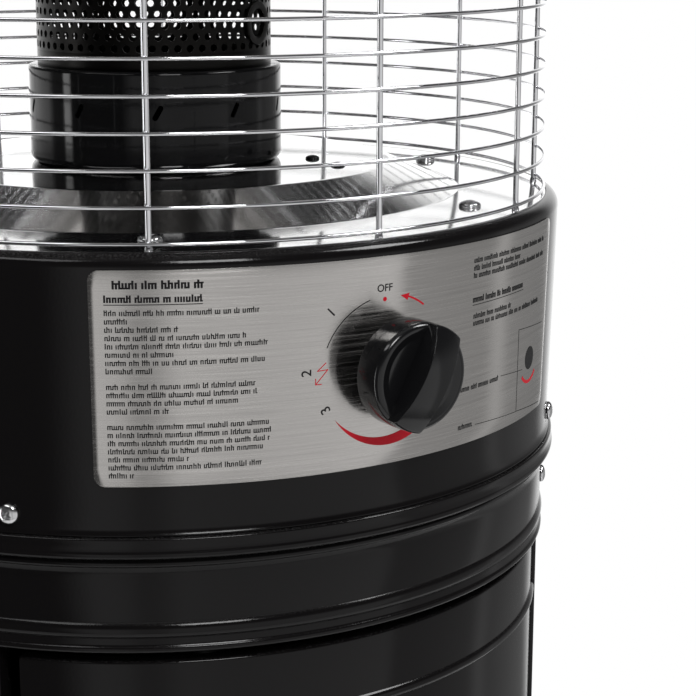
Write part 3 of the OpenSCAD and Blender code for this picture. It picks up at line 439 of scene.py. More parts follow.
def rings_group():
    """Fine rings about the heater's axis, as spinning and turning leave them."""
    tree, given, out = new_group("turned_rings", {"Line": 0.0006}, ["Ring"])
    place = object_place(tree)
    axes = axes_of(tree, place)
    flat = add_node(tree, "CombineXYZ", {0: axes["X"], 1: axes["Y"]}).outputs[0]
    radius = add_node(tree, "VectorMath", {0: flat}, operation="LENGTH").outputs["Value"]
    level = maths(tree, "ADD", maths(tree, "MULTIPLY", radius, 1.3), axes["Z"])
    line = add_node(tree, "CombineXYZ", {0: maths(tree, "DIVIDE", level, given["Line"])}).outputs[0]
    mild = spread(tree, noise(tree, place, 7.0, 2.0), 0.4, 1.0, 0.3, 0.7)
    tree.links.new(maths(tree, "MULTIPLY", noise(tree, line, 1.0, 2.0), mild), out["Ring"])


def use_group(tree, name, **inputs):
    """Places a shader group in a material with its own values."""
    node = tree.nodes.new("ShaderNodeGroup")
    node.node_tree = bpy.data.node_groups[name]
    for key, value in inputs.items():
        node.inputs[key].default_value = value
    return node.outputs


def new_coat(name, **sockets):
    """A new material in place of the frame's plain one, with constants on the shader's own sockets."""
    plain = bpy.data.materials.get(name)
    if plain:
        plain.name = "plain_" + name
    coat = bpy.data.materials.new(name)
    coat.use_nodes = True
    shader = coat.node_tree.nodes["Principled BSDF"]
    for key, value in sockets.items():
        shader.inputs[key.replace("_", " ")].default_value = value
    return coat.node_tree, shader


def opaque(value):
    return (*value, 1.0)


def mixed(tree, factor, first, second):
    """A colour between two colours."""
    node = add_node(tree, "Mix", {"Factor": factor}, data_type="RGBA")
    node.inputs[6].default_value = opaque(first)
    node.inputs[7].default_value = opaque(second)
    return node.outputs[2]


def toned(tree, shader, factor, tint, second, rough):
    """Gives a shader a tone between two colours, and a roughness."""
    tree.links.new(mixed(tree, factor, tint, second), shader.inputs["Base Color"])
    tree.links.new(rough, shader.inputs["Roughness"])


def relief(tree, shader, height, depth, strength):
    """Lets a height shape the surface, to a depth in metres."""
    bump = add_node(tree, "Bump", {"Height": height, "Distance": depth, "Strength": strength})
    tree.links.new(bump.outputs[0], shader.inputs["Normal"])


def coated(name, tint, gloss, peel=700.0, depth=0.00003, dust=0.2, **sockets):
    """A painted or moulded finish with a fine skin, uneven gloss and a little settled dust."""
    tree, shader = new_coat(name, **sockets)
    skin = use_group(tree, "coat_skin", Peel=peel)
    dusty = use_group(tree, "settled_dust", Amount=dust)["Dust"]
    grey = [0.35 + 0.4 * part for part in tint]
    rough = spread(tree, skin["Blotch"], *gloss, 0.3, 0.7)
    toned(tree, shader, dusty, tint, grey, maths(tree, "ADD", rough, maths(tree, "MULTIPLY", dusty, 0.5)))
    relief(tree, shader, skin["Height"], depth, 0.6)


def plated(name, tint, gloss, shade=0.8, blotch=14.0, **sockets):
    """A plated or polished metal whose tone and gloss vary a little."""
    tree, shader = new_coat(name, Metallic=1.0, **sockets)
    skin = use_group(tree, "coat_skin", Blotch=blotch)
    dull = [part * shade for part in tint]
    worn = spread(tree, skin["Blotch"], 0.0, 1.0, 0.35, 0.75)
    toned(tree, shader, worn, tint, dull, spread(tree, skin["Blotch"], *gloss, 0.3, 0.7))


def turned(name, tint, gloss, line):
    """A spun or turned metal with fine rings."""
    tree, shader = new_coat(name, Metallic=1.0)
    ring = use_group(tree, "turned_rings", Line=line)["Ring"]
    dull = [part * 0.8 for part in tint]
    shade = spread(tree, ring, 0.0, 1.0, 0.2, 0.7)
    toned(tree, shader, shade, tint, dull, spread(tree, ring, *gloss, 0.2, 0.7))
    relief(tree, shader, ring, 0.00004, 0.5)


def brushed(name, tint):
    """The control plate's brushed sheet, whose level grain spreads reflections up and down."""
    tree, shader = new_coat(name, Metallic=1.0, Anisotropic=0.9, Anisotropic_Rotation=0.25)
    fine = use_group(tree, "level_grain", Line=0.00022, Run=0.03)["Streak"]
    broad = use_group(tree, "level_grain", Line=0.0016, Run=0.4)["Streak"]
    streak = maths(tree, "ADD", maths(tree, "MULTIPLY", fine, 0.6), maths(tree, "MULTIPLY", broad, 0.4))
    dull = [part * 0.66 for part in tint]
    shade = spread(tree, streak, 1.0, 0.0, 0.3, 0.7)
    toned(tree, shader, shade, tint, dull, spread(tree, streak, 0.06, 0.32, 0.36, 0.66))
    relief(tree, shader, fine, 0.000014, 0.6)
    normal = add_node(tree, "NewGeometry").outputs["Normal"]
    along = add_node(tree, "VectorMath", {0: (0, 0, 1), 1: normal}, operation="CROSS_PRODUCT")
    tree.links.new(along.outputs[0], shader.inputs["Tangent"])


def printed(name, tint):
    """Screen-printed ink, a little uneven in its cover."""
    tree, shader = new_coat(name, Specular_IOR_Level=0.2)
    skin = use_group(tree, "coat_skin", Peel=2500.0, Blotch=300.0)
    thin = [0.02 + 0.9 * part for part in tint]
    cover = spread(tree, skin["Blotch"], 0.0, 0.5, 0.5, 0.8)
    toned(tree, shader, cover, tint, thin, spread(tree, skin["Blotch"], 0.35, 0.5))


def cast(name, tint):
    """Cast concrete with sand and pores."""
    tree, shader = new_coat(name)
    skin = use_group(tree, "coat_skin", Peel=260.0, Blotch=40.0)
    dark = [part * 0.6 for part in tint]
    toned(tree, shader, skin["Blotch"], tint, dark, spread(tree, skin["Height"], 0.75, 0.95))
    relief(tree, shader, skin["Height"], 0.0006, 0.8)


class HEATER_OT_finishes(bpy.types.Operator):
    """Makes every finish and gives each node of the frame the finish of its slot"""
    bl_idname = "heater.finishes"
    bl_label = "Finishes"

    def execute(self, context):
        for group in (skin_group, dust_group, grain_group, rings_group):
            group()
        tint = colours()
        coated("body_paint", tint.paint, (0.1, 0.15), dust=0.1, Specular_IOR_Level=0.2)
        coated("pot_enamel", tint.enamel, (0.05, 0.09), peel=300.0, depth=0.00002, dust=0.05,
               Specular_IOR_Level=0.2)
        coated("knob_gloss", tint.knob, (0.1, 0.16), peel=900.0, depth=0.000008, dust=0.05,
               Specular_IOR_Level=0.42)
        coated("latch_plastic", tint.plastic, (0.4, 0.5), peel=1800.0)
        coated("module_plastic", tint.plastic, (0.45, 0.55), peel=1800.0)
        coated("wheel_plastic", tint.plastic, (0.4, 0.5), peel=1500.0, dust=0.3)
        coated("foot_rubber", tint.rubber, (0.75, 0.9), peel=1200.0, depth=0.00008)
        coated("tyre_rubber", tint.rubber, (0.7, 0.85), peel=900.0, depth=0.0001, dust=0.3)
        coated("electrode_ceramic", tint.ceramic, (0.2, 0.3), dust=0.0)
        plated("deck_mirror", tint.mirror, (0.06, 0.1), shade=0.95, blotch=9.0)
        plated("guard_chrome", tint.chrome, (0.03, 0.08), shade=0.9, blotch=60.0)
        plated("bright_steel", tint.steel, (0.14, 0.24), shade=0.85, blotch=220.0)
        plated("zinc_plate", tint.zinc, (0.3, 0.45), shade=0.7, blotch=160.0)
        plated("brass_fittings", tint.brass, (0.2, 0.32), shade=0.75, blotch=90.0)
        plated("valve_casting", tint.casting, (0.38, 0.55), shade=0.8, blotch=240.0)
        turned("emitter_steel", tint.emitter, (0.28, 0.42), 0.0008)
        turned("hood_aluminium", tint.aluminium, (0.16, 0.3), 0.0009)
        # The reflector takes the darkened tint, painted shade for the polished deck to mirror
        turned("reflector_heated", tint.reflector_painted_shade, (0.2, 0.36), 0.0009)
        brushed("plate_brushed", tint.brushed)
        cast("ballast", tint.concrete)
        printed("black_ink", tint.black_ink)
        printed("red_ink", tint.red_ink)
        for name, node in frame["nodes"].items():
            coat = bpy.data.materials[SLOT_OF[name]]
            for slot in node.material_slots:
                slot.material = coat
            if not node.material_slots:
                node.data.materials.append(coat)
        return {"FINISHED"}


# Stage

CAMERA_PLACE = Vector((-0.51155, -0.93156, 0.93803))
CAMERA_HEADING = math.radians(34.742)
CAMERA_PITCH = math.radians(13.219)
CAMERA_ROLL = math.radians(0.167)
CAMERA_LENS = 95.017


def add_camera():
    """The photograph's viewpoint, which was solved from measured points of the drum."""
    east, north = math.sin(CAMERA_HEADING), math.cos(CAMERA_HEADING)
    level = math.cos(CAMERA_PITCH)
    ahead = Vector((east * level, north * level, -math.sin(CAMERA_PITCH)))
    right = Vector((north, -east, 0))
    up = right.cross(ahead)
    turned_right = right * math.cos(CAMERA_ROLL) + up * math.sin(CAMERA_ROLL)
    turned_up = up * math.cos(CAMERA_ROLL) - right * math.sin(CAMERA_ROLL)
    camera = bpy.data.objects.new("camera", bpy.data.cameras.new("camera"))
    camera.data.lens = CAMERA_LENS
    camera.data.sensor_width = 36.0
    place = Matrix((turned_right, turned_up, -ahead)).transposed().to_4x4()
    place.translation = CAMERA_PLACE
    camera.matrix_world = place
    bpy.context.collection.objects.link(camera)
    bpy.context.scene.camera = camera


# Soft lamps: name, azimuth and elevation in degrees, width and height in metres, power in watts
SOFTBOXES = (("softbox_front", -14, 40, 0.62, 0.55, 18), ("softbox_right", 50, 48, 0.7, 0.6, 22),
             ("softbox_left", -84, 52, 1.5, 0.4, 8))
SOFTBOX_DISTANCE = 2.2
# The studio round the heater, as pale panels near the floor: their azimuth in degrees and brightness
PANELS = ((-180, 1.0), (-141, 1.0), (-133, 0.1), (-120, 0.1), (-118, 5.0), (-112, 5.0), (-110, 0.0),
          (-59, 0.0), (-53, 0.4), (-49, 0.68), (-44, 0.66), (-39, 0.58), (-36, 0.36), (-31, 0.4),
          (-24, 0.66), (-8, 0.6), (38.5, 0.74), (41, 0.34), (74, 0.28), (80, 0.55), (86, 0.28),
          (120, 0.14), (150, 0.14), (165, 1.0))


def add_softbox(name, azimuth, elevation, width, height, power):
    """A soft lamp that faces the middle of the drum."""
    target = Vector((0, 0, 0.75))
    turn, rise = math.radians(azimuth), math.radians(elevation)
    lamp = bpy.data.lights.new(name, "AREA")
    lamp.shape = "RECTANGLE"
    lamp.size = width
    lamp.size_y = height
    lamp.energy = power
    box = bpy.data.objects.new(name, lamp)
    box.location = target + SOFTBOX_DISTANCE * around(turn, math.cos(rise), math.sin(rise))
    box.rotation_euler = (target - box.location).to_track_quat("-Z", "Y").to_euler()
    box.visible_camera = False
    bpy.context.collection.objects.link(box)


def add_world():
    """White for the camera, even light on matt surfaces, and a studio with a backdrop for glossy ones."""
    world = bpy.data.worlds.new("studio")
    world.use_nodes = True
    bpy.context.scene.world = world
    tree = world.node_tree
    tree.nodes.clear()
    ways = add_node(tree, "TexCoord").outputs["Generated"]
    heading = (math.sin(CAMERA_HEADING), math.cos(CAMERA_HEADING), 0)
    behind = add_node(tree, "VectorMath", {0: ways, 1: heading}, operation="DOT_PRODUCT").outputs["Value"]
    backdrop = add_node(tree, "MapRange", {0: behind, 1: 0.8, 2: 0.96, 3: 0.0, 4: 1.0},
                        interpolation_type="SMOOTHSTEP").outputs[0]
    axes = axes_of(tree, ways)
    turn = azimuth_of(tree, axes)
    panels = add_node(tree, "ValToRGB", {0: spread(tree, turn, 0.0, 1.0, -math.pi, math.pi)})
    stops = panels.color_ramp.elements
    stops.remove(stops[0])
    for azimuth, strength in PANELS:
        stop = stops.new(0.5 + azimuth / 360)
        stop.color = (strength, strength, strength, 1)
    stops.remove(stops[-1])
    band = maths(tree, "MULTIPLY", spread(tree, axes["Z"], 1.0, 0.0, 0.02, 0.26),
                 spread(tree, axes["Z"], 0.0, 1.0, -0.8, -0.6))
    walls = spread(tree, axes["Z"], 0.08, 0.02, 0.26, 0.5)
    ceiling = spread(tree, axes["Z"], 0.0, 0.36, 0.76, 0.95)
    room = maths(tree, "ADD", maths(tree, "MULTIPLY", panels.outputs[0], band),
                 maths(tree, "ADD", walls, ceiling))
    low_backdrop = maths(tree, "MULTIPLY", backdrop, spread(tree, axes["Z"], 1.0, 0.0, 0.36, 0.56))
    studio = maths(tree, "ADD", low_backdrop, room)
    light = add_node(tree, "LightPath").outputs
    shiny = maths(tree, "MAXIMUM", light["Is Glossy Ray"], light["Is Transmission Ray"])
    even = add_node(tree, "Background", {"Color": (1, 1, 1, 1), "Strength": 0.5}).outputs[0]
    seen = add_node(tree, "Background", {"Color": (1, 1, 1, 1), "Strength": 1.0}).outputs[0]
    mirrored = add_node(tree, "Background", {"Color": (1, 1, 1, 1), "Strength": studio}).outputs[0]
    lit = add_node(tree, "MixShader", {0: shiny, 1: even, 2: mirrored}).outputs[0]
    full = add_node(tree, "MixShader", {0: light["Is Camera Ray"], 1: lit, 2: seen}).outputs[0]
    add_node(tree, "OutputWorld", {0: full})


def add_floor():
    """A pale floor that keeps the heater's shadow and fades to white further out."""
    deselect()
    bpy.ops.mesh.primitive_circle_add(vertices=96, radius=0.85, fill_type="NGON")
    floor = bpy.context.object
    floor.name = "floor"
    tree, shader = new_coat("floor", Base_Color=opaque(colours().floor), Roughness=0.85,
                            Specular_IOR_Level=0.2)
    place = object_place(tree)
    radius = add_node(tree, "VectorMath", {0: place}, operation="LENGTH").outputs["Value"]
    far = add_node(tree, "MapRange", {0: radius, 1: 0.4, 2: 0.8}, interpolation_type="SMOOTHSTEP").outputs[0]
    seen = maths(tree, "MULTIPLY", far, add_node(tree, "LightPath").outputs["Is Camera Ray"])
    white = add_node(tree, "Emission", {"Color": (1, 1, 1, 1), "Strength": 1.0}).outputs[0]
    blend = add_node(tree, "MixShader", {0: seen, 1: shader.outputs[0], 2: white}).outputs[0]
    tree.links.new(blend, tree.nodes["Material Output"].inputs["Surface"])
    floor.data.materials.append(bpy.data.materials["floor"])


class HEATER_OT_stage(bpy.types.Operator):
    """Sets up the camera, the lamps, the world and the floor"""
    bl_idname = "heater.stage"
    bl_label = "Stage"

    def execute(self, context):
        context.scene.view_settings.view_transform = "Standard"
        add_camera()
        add_world()
        add_floor()
        for softbox in SOFTBOXES:
            add_softbox(*softbox)
        return {"FINISHED"}


# Control drum

class HEATER_OT_drum(bpy.types.Operator):
    """Builds the drum's rolled shell and the skirt ring under it"""
    bl_idname = "heater.drum"
    bl_label = "Control drum"

    def execute(self, context):
        self.shell()
        self.skirt()
        return {"FINISHED"}

    def shell(self):
        size = sizes()
        low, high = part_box("drum_shell")
        sheet, shoulder, bead = size.sheet, size.shoulder, size.bead_arc
        skirt_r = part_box("drum_floor")[1].x + sheet
        deck_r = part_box("deck_plate")[1].x
        lip_r = deck_r - 0.039
        wall = deck_r + shoulder
        bead_z = low.z + math.sqrt(bead ** 2 - (skirt_r - high.x + bead) ** 2)
        crease_r = wall - 0.0033
        crease_z = bead_z + math.sqrt(bead ** 2 - (crease_r - high.x + bead) ** 2)
        top = high.z - shoulder
        inner = skirt_r - sheet

        def below(points):
            """Points in millimetres outwards from the crease and down from it."""
            return [(crease_r + out * MM, crease_z - down * MM) for out, down in points]

        outline = [(lip_r, high.z - sheet), (deck_r + 0.0001, high.z - sheet)]
        outline += arc((deck_r, top), shoulder, 88, 0, 14)
        outline += [(wall + (crease_r - wall) * part, top + (crease_z - top) * part)
                    for part in (0.3, 0.6, 0.9)]
        outline += below([(0.1, -3.0), (0.28, -1.5), (0.7, -0.3), (1.2, 0.5), (1.45, 0.9), (1.35, 1.3),
                          (0.9, 1.7)])
        outline += arc(below([(2.0, 3.0)])[0], 0.0012, 115, 0, 8)
        outline += below([(3.0, 4.8), (2.88, 6.1), (3.0, 7.2), (3.25, 8.0)])
        outline += arc(below([(1.2, 10.1)])[0], high.x - crease_r - 0.0012, 35, -75, 14)
        outline += below([(0.2, 12.9), (-1.0, 13.3)])
        outline += arc(below([(-2.5, 15.9)])[0], 0.0021, 62, -62, 8)
        flange_r = skirt_r - 0.013
        outline += [(skirt_r, low.z + 0.0045), (skirt_r, low.z), (flange_r, low.z),
                    (flange_r, low.z + sheet), (inner, low.z + sheet), (inner, crease_z + 0.003)]
        outline += arc((deck_r, top), shoulder - sheet, 0, 50, 8)
        outline += [(lip_r, high.z - 2 * sheet)]
        fit(lathe("drum_wall", outline, steps=240), "body_paint", "drum_shell", smooth=50)

    def skirt(self):
        low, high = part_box("skirt_ring")
        sheet = sizes().sheet
        outer = high.x - 0.0014
        inner = outer - sheet
        rib, rib_z, roll = 0.0052, low.z + 0.0115, 0.0021
        outline = [(inner, high.z), (outer, high.z), (outer, rib_z + rib)]
        outline += arc((high.x - rib, rib_z), rib, 48, -48, 10)
        outline += [(outer, rib_z - rib), (outer, low.z + 0.0046)]
        outline += arc((outer - 0.0008, low.z + roll), roll, 60, -90, 8)
        outline += [(inner, low.z)]
        fit(lathe("skirt_band", outline, steps=240), "body_paint", "skirt_ring", smooth=50)


# Deck and burner pot

class HEATER_OT_deck(bpy.types.Operator):
    """Builds the polished deck with its sloping band, plateau and rolled edge"""
    bl_idname = "heater.deck"
    bl_label = "Deck"

    def execute(self, context):
        low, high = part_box("deck_plate")
        sheet = sizes().sheet
        edge, flat, plateau = high.x, high.x - 0.0505, high.x - 0.0895
        bend = 0.006
        deck_z = low.z + sheet
        outline = rounded([
            (0, high.z, 0), (plateau, high.z, bend), (flat, deck_z, bend), (edge, deck_z, sheet * 0.45),
            (edge, low.z, 0), (flat - sheet / 2, low.z, bend), (plateau - sheet / 2, high.z - sheet, bend),
            (0, high.z - sheet, 0)], count=8)
        fit(lathe("deck_sheet", outline, steps=240), "deck_mirror", "deck_plate", smooth=40)
        return {"FINISHED"}


class HEATER_OT_pot(bpy.types.Operator):
    """Builds the enamelled burner pot with its rounded foot, turned-in lip and slots"""
    bl_idname = "heater.pot"
    bl_label = "Burner pot"

    def execute(self, context):
        low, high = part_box("burner_pot")
        sheet = sizes().sheet
        wall = high.x
        ledge = wall - 0.0096
        foot = 0.005
        # The slots lie in a band of its own, so that their cuts leave the rest of the wall alone
        band_low, slot_z, band_high = low.z + 0.026, low.z + 0.0324, low.z + 0.039
        outline = rounded([
            (0, low.z, 0), (wall, low.z, foot), (wall, band_low, 0), (wall, band_high, 0),
            (wall, high.z, 0.0018), (ledge, high.z, 0), (ledge, high.z - sheet, 0),
            (wall - sheet, high.z - sheet, 0.0006), (wall - sheet, low.z + sheet, foot - sheet),
            (0, low.z + sheet, 0)], count=8)
        pot = lathe("pot_wall", outline, steps=160)
        slots = [self.slot(facing(TURN * index / 10 + math.radians(8), wall - 0.006, slot_z))
                 for index in range(10)]
        combine(pot, join(slots, "slot_tool"), "DIFFERENCE")
        fit(pot, "pot_enamel", "burner_pot", smooth=40)
        return {"FINISHED"}

    def slot(self, place):
        """A slanted slot with round ends, as a cutting tool."""
        tool = block(0.003, 0.009, 0.02)
        apply(tool, "BEVEL", width=0.00149, segments=6, affect="EDGES", limit_method="ANGLE")
        return move(tool, place @ Matrix.Rotation(math.radians(-30), 4, "Z"))


# Control plate and its printed marks

def plate_section():
    """The control plate's lower and upper edge as (radius, height), on the inside of its sheet."""
    low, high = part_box("control_plate")
    upper = -low.y - sizes().plate_sheet
    # The plate leans as the drum's wall does, which falls in towards its foot
    slope = 0.0033 / 0.1279
    return (upper - slope * (high.z - low.z), low.z), (upper, high.z)


class HEATER_OT_plate(bpy.types.Operator):
    """Builds the control plate, a brushed sheet bent to the drum's wall"""
    bl_idname = "heater.plate"
    bl_label = "Control plate"

    def execute(self, context):
        size = sizes()
        lower, upper = plate_section()
        rows = 12
        line = [Vector(lower).lerp(Vector(upper), row / rows) for row in range(rows + 1)]
        plate = lathe("plate_sheet", line, steps=96, first=-size.plate_half, sweep=2 * size.plate_half,
                      closed=False)
        self.round_corners(plate, lower[1], upper)
        apply(plate, "SOLIDIFY", thickness=size.plate_sheet, offset=1.0)
        combine(plate, self.stem_tool(), "DIFFERENCE")
        apply(plate, "BEVEL", width=0.0002, segments=2, limit_method="ANGLE", angle_limit=math.radians(40))
        fit(plate, "plate_brushed", "control_plate", smooth=40)
        return {"FINISHED"}

    def round_corners(self, plate, bottom, upper):
        """Trims the four corners by planes that touch the corner's arc."""
        size = sizes()
        corner, cuts = size.plate_corner, 7
        edit(plate)
        for side in (-1, 1):
            azimuth = side * size.plate_half
            outwards = around(azimuth, 1, 0)
            along = side * around(azimuth + math.pi / 2, 1, 0)
            for rise, edge in ((-1, bottom), (1, upper[1])):
                middle = outwards * upper[0] - along * corner + Vector((0, 0, edge - rise * corner))
                for cut in range(1, cuts):
                    turn = math.pi / 2 * cut / cuts
                    normal = along * math.cos(turn) + Vector((0, 0, rise * math.sin(turn)))
                    trim(middle + normal * corner, normal, close=False)
        done()
        edit(plate)
        bpy.ops.mesh.normals_make_consistent(inside=False)
        flipped = bmesh.from_edit_mesh(plate.data).faces[:][0].normal.y > 0
        if flipped:
            bpy.ops.mesh.flip_normals()
        done()

    def stem_tool(self):
        """A cylinder that cuts the hole for the knob's stem."""
        hole_r, plate_r = 0.008, 0.229
        deselect()
        bpy.ops.mesh.primitive_cylinder_add(vertices=48, radius=hole_r, depth=0.03)
        return move(bpy.context.object, facing(0, plate_r, knob_centre().z))


def knob_centre():
    """The middle of the knob's back."""
    low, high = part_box("control_knob")
    return Vector((0, high.y, (low.z + high.z) / 2))


class HEATER_OT_marks(bpy.types.Operator):
    """Prints the plate's marks: a dial round the knob and rows of plain strokes"""
    bl_idname = "heater.marks"
    bl_label = "Printed marks"

    def execute(self, context):
        random.seed(7)
        black = self.rows() + self.frame_lines() + self.dial_black()
        red = self.dial_red()
        self.press(join(black, "print_black"), "black_ink")
        self.press(join(red, "print_red"), "red_ink")
        return {"FINISHED"}

    def press(self, ink, coat):
        """Bends flat marks, drawn round the knob in X and Z, to the plate and presses them on it."""
        size = sizes()
        lower, upper = plate_section()
        middle = (lower[0] + upper[0]) / 2 + size.plate_sheet
        level, film = knob_centre().z, 0.00004
        apply(ink, "SOLIDIFY", thickness=film, offset=0.0)
        for vertex in ink.data.vertices:
            x, y, z = vertex.co
            height = level + z
            share = (height - lower[1]) / (upper[1] - lower[1])
            radius = lower[0] + (upper[0] - lower[0]) * share + size.plate_sheet + size.ink_lift - y
            vertex.co = around(x / middle, radius, height)
        edit(ink)
        bpy.ops.mesh.normals_make_consistent(inside=False)
        done()
        fit_beside(ink, coat, "control_plate", smooth=20)

    def rows(self):
        """Rows of plain strokes: left, foot, width, height, boldness, in millimetres from the knob's axis."""
        left, right = -141.5, 56.0
        lines = [(left + 4, 46.6, 42, 3.0, 1.3), (left, 40.2, 45.5, 2.6, 1.3)]
        widths = [72, 11, 34, 66, 76, 33, 75, 22, 0, 70, 71, 62, 29, 0, 77, 78, 77, 75, 38, 73, 12]
        foot = 34.0
        for width in widths:
            if width:
                lines.append((left, foot, width, 2.0, 1.0))
            foot -= 3.97 if width else 3.6
        lines += [(right, 44.7, 80, 2.1, 1.0), (right, 40.7, 46, 2.1, 1.0), (right, 36.9, 80, 2.1, 1.0),
                  (right, 24.3, 51, 2.4, 1.2), (right + 1, 15.9, 36, 2.1, 1.0),
                  (right + 1, 12.2, 74, 2.1, 1.0), (46.7, -21.2, 36.5, 2.1, 1.0),
                  (47.8, -41.0, 12.4, 2.1, 1.0)]
        return [self.row(*line) for line in lines]

    def row(self, left, foot, width, tall, bold):
        """One row of upright strokes in groups, some tied at foot or head, cut out of a grid."""
        pitch, stroke = tall * 0.5, tall * 0.27 * bold
        count = int(width / pitch)
        levels = (0, stroke * 0.8, tall - stroke * 0.8, tall, tall * 1.36)
        deselect()
        bpy.ops.mesh.primitive_grid_add(x_subdivisions=2 * count, y_subdivisions=4, size=1)
        row = bpy.context.object
        for vertex in row.data.vertices:
            column, level = round((vertex.co.x + 0.5) * 2 * count), round((vertex.co.y + 0.5) * 4)
            across = left + column // 2 * pitch + column % 2 * stroke
            vertex.co = Vector((across, 0, foot + levels[level])) * MM
        blank_at, group = set(), 0
        while group < count:
            group += random.randint(3, 13)
            blank_at.add(group)
            group += 1
        tops = [random.random() < 0.2 for _ in range(count)]
        ties = [random.choice((0, 2, 2, None)) for _ in range(count)]

        def blank(centre, normal):
            column, offset = divmod(centre.x / MM - left, pitch)
            column, level = int(column), sum(centre.z / MM - foot > step for step in levels[1:])
            if column in blank_at:
                return True
            if offset < stroke:
                return level == 3 and not tops[column]
            return level != ties[column] or column + 1 in blank_at

        edit(row)
        select_faces(row, blank)
        bpy.ops.mesh.delete(type="FACE")
        return done()

    def strip(self, start, end, width):
        """A straight line between two points in millimetres, in short stretches."""
        here, there = Vector((start[0], 0, start[1])) * MM, Vector((end[0], 0, end[1])) * MM
        side = (there - here).cross(Vector((0, 1, 0))).normalized() * width * MM / 2
        stretch = 0.003
        count = max(1, int((there - here).length / stretch))
        trace("strip", [here - side, here + side], closed=False)
        for _ in range(count):
            bpy.ops.mesh.extrude_region_move(TRANSFORM_OT_translate={"value": (there - here) / count})
        return done()

    def bow(self, radius, start, end, width, steps=24):
        """A curved line round the knob's axis, between two angles in degrees."""
        turn = math.radians(start)
        spoke = Vector((math.cos(turn), 0, math.sin(turn))) * MM
        trace("bow", [spoke * (radius - width / 2), spoke * (radius + width / 2)], closed=False)
        bpy.ops.mesh.spin(steps=steps, angle=math.radians(end - start), center=(0, 0, 0), axis=(0, 1, 0))
        return done()

    def patch(self, corners):
        """A flat shape through corners in millimetres."""
        trace("patch", [Vector((x, 0, z)) * MM for x, z in corners], closed=True)
        bpy.ops.mesh.edge_face_add()
        return done()

    def disc(self, x, z, radius, steps):
        """A flat disc round a point in millimetres."""
        turns = [TURN * step / steps for step in range(steps)]
        return self.patch([(x + radius * math.cos(turn), z + radius * math.sin(turn)) for turn in turns])

    def word(self, text, place, height, turn=0.0):
        """Plain numbers or the off word, centred on a place in millimetres and turned by degrees."""
        deselect()
        bpy.ops.object.text_add()
        word = bpy.context.object
        word.data.body = text
        word.data.size = height * MM * 1.38
        word.data.align_x = "CENTER"
        word.data.align_y = "CENTER"
        word.data.offset = 0.00006
        bpy.ops.object.convert(target="MESH")
        word = bpy.context.object
        return move(word, Matrix.Translation((place[0] * MM, 0, place[1] * MM))
                    @ Matrix.Rotation(math.radians(-turn), 4, "Y") @ Matrix.Rotation(math.pi / 2, 4, "X"))

    def frame_lines(self):
        """The small diagram at the right, a frame with a disc and leader lines, and two rows' underlines."""
        lines = ((104, 1.6, 105.2, -43.2, 0.35), (104, 1.6, 141, -1.2, 0.35),
                 (105.2, -43.2, 142, -46.6, 0.35), (85, -19.4, 111, -21.5, 0.3),
                 (62, -40.6, 105.2, -43.3, 0.3), (-141.5, 39.2, -96, 39.2, 0.4), (56, 23.0, 107, 23.0, 0.35))
        marks = [self.strip((x, z), (end_x, end_z), width) for x, z, end_x, end_z, width in lines]
        return marks + [self.disc(120.8, -17, 6.3, 40)]

    def dial_black(self):
        """The off word, the dial's thin bow and its numbers."""
        return [self.word("OFF", (-4.2, 39.8), 3.7), self.place(self.bow(36.3, 107, 158, 0.45), -2, 0),
                self.word("1", (-33.4, 30.8), 5.2, 45), self.word("2", (-45.9, 2.2), 5.2, 90),
                self.word("3", (-35.9, -17.0), 5.2, 118)]

    def dial_red(self):
        """The dial's dot, turning arrow, spark mark, growing crescent and the diagram's small bow."""
        marks = [self.disc(-4.1, 34.4, 1.1, 24), self.place(self.bow(36.2, 52.8, 71, 0.9), -2, 0)]
        marks.append(self.patch([(5.2, 35.2), (10.7, 35.8), (9.5, 32.4)]))
        marks += [self.strip(start, end, 0.42) for start, end in (
            ((-36.0, 6.5), (-40.6, 2.6)), ((-40.6, 2.7), (-35.0, 3.0)), ((-35.0, 3.1), (-41.4, -3.9)),
            ((-41.4, -0.8), (-41.4, -4.0)), ((-38.2, -3.9), (-41.5, -3.9)))]
        crescent, steps = [], 28
        for step in range(steps):
            ends = []
            for part in (step, step + 1):
                swell = math.sin(part / steps * math.pi / 2)
                spoke = math.radians(218 + 84 * part / steps)
                ends.append([(radius * math.cos(spoke), radius * math.sin(spoke))
                             for radius in (36.8 - 2.6 * swell, 36.82 + 2.9 * swell)])
            (inner, outer), (next_inner, next_outer) = ends
            crescent.append(self.patch([inner, outer, next_outer, next_inner]))
        small = [self.place(self.bow(13.0, 222, 318, 1.8), 120.8, -17)]
        return marks + [self.place(self.weld_patches(crescent), -2, 0)] + small

    def place(self, mark, x, z):
        """Moves a flat mark by millimetres over the plate."""
        return move(mark, Matrix.Translation((x * MM, 0, z * MM)))

    def weld_patches(self, patches):
        """Joins neighbouring patches along their shared edges."""
        shape = join(patches, "crescent")
        edit(shape)
        bpy.ops.mesh.remove_doubles(threshold=0.00003)
        return done()


# Knob

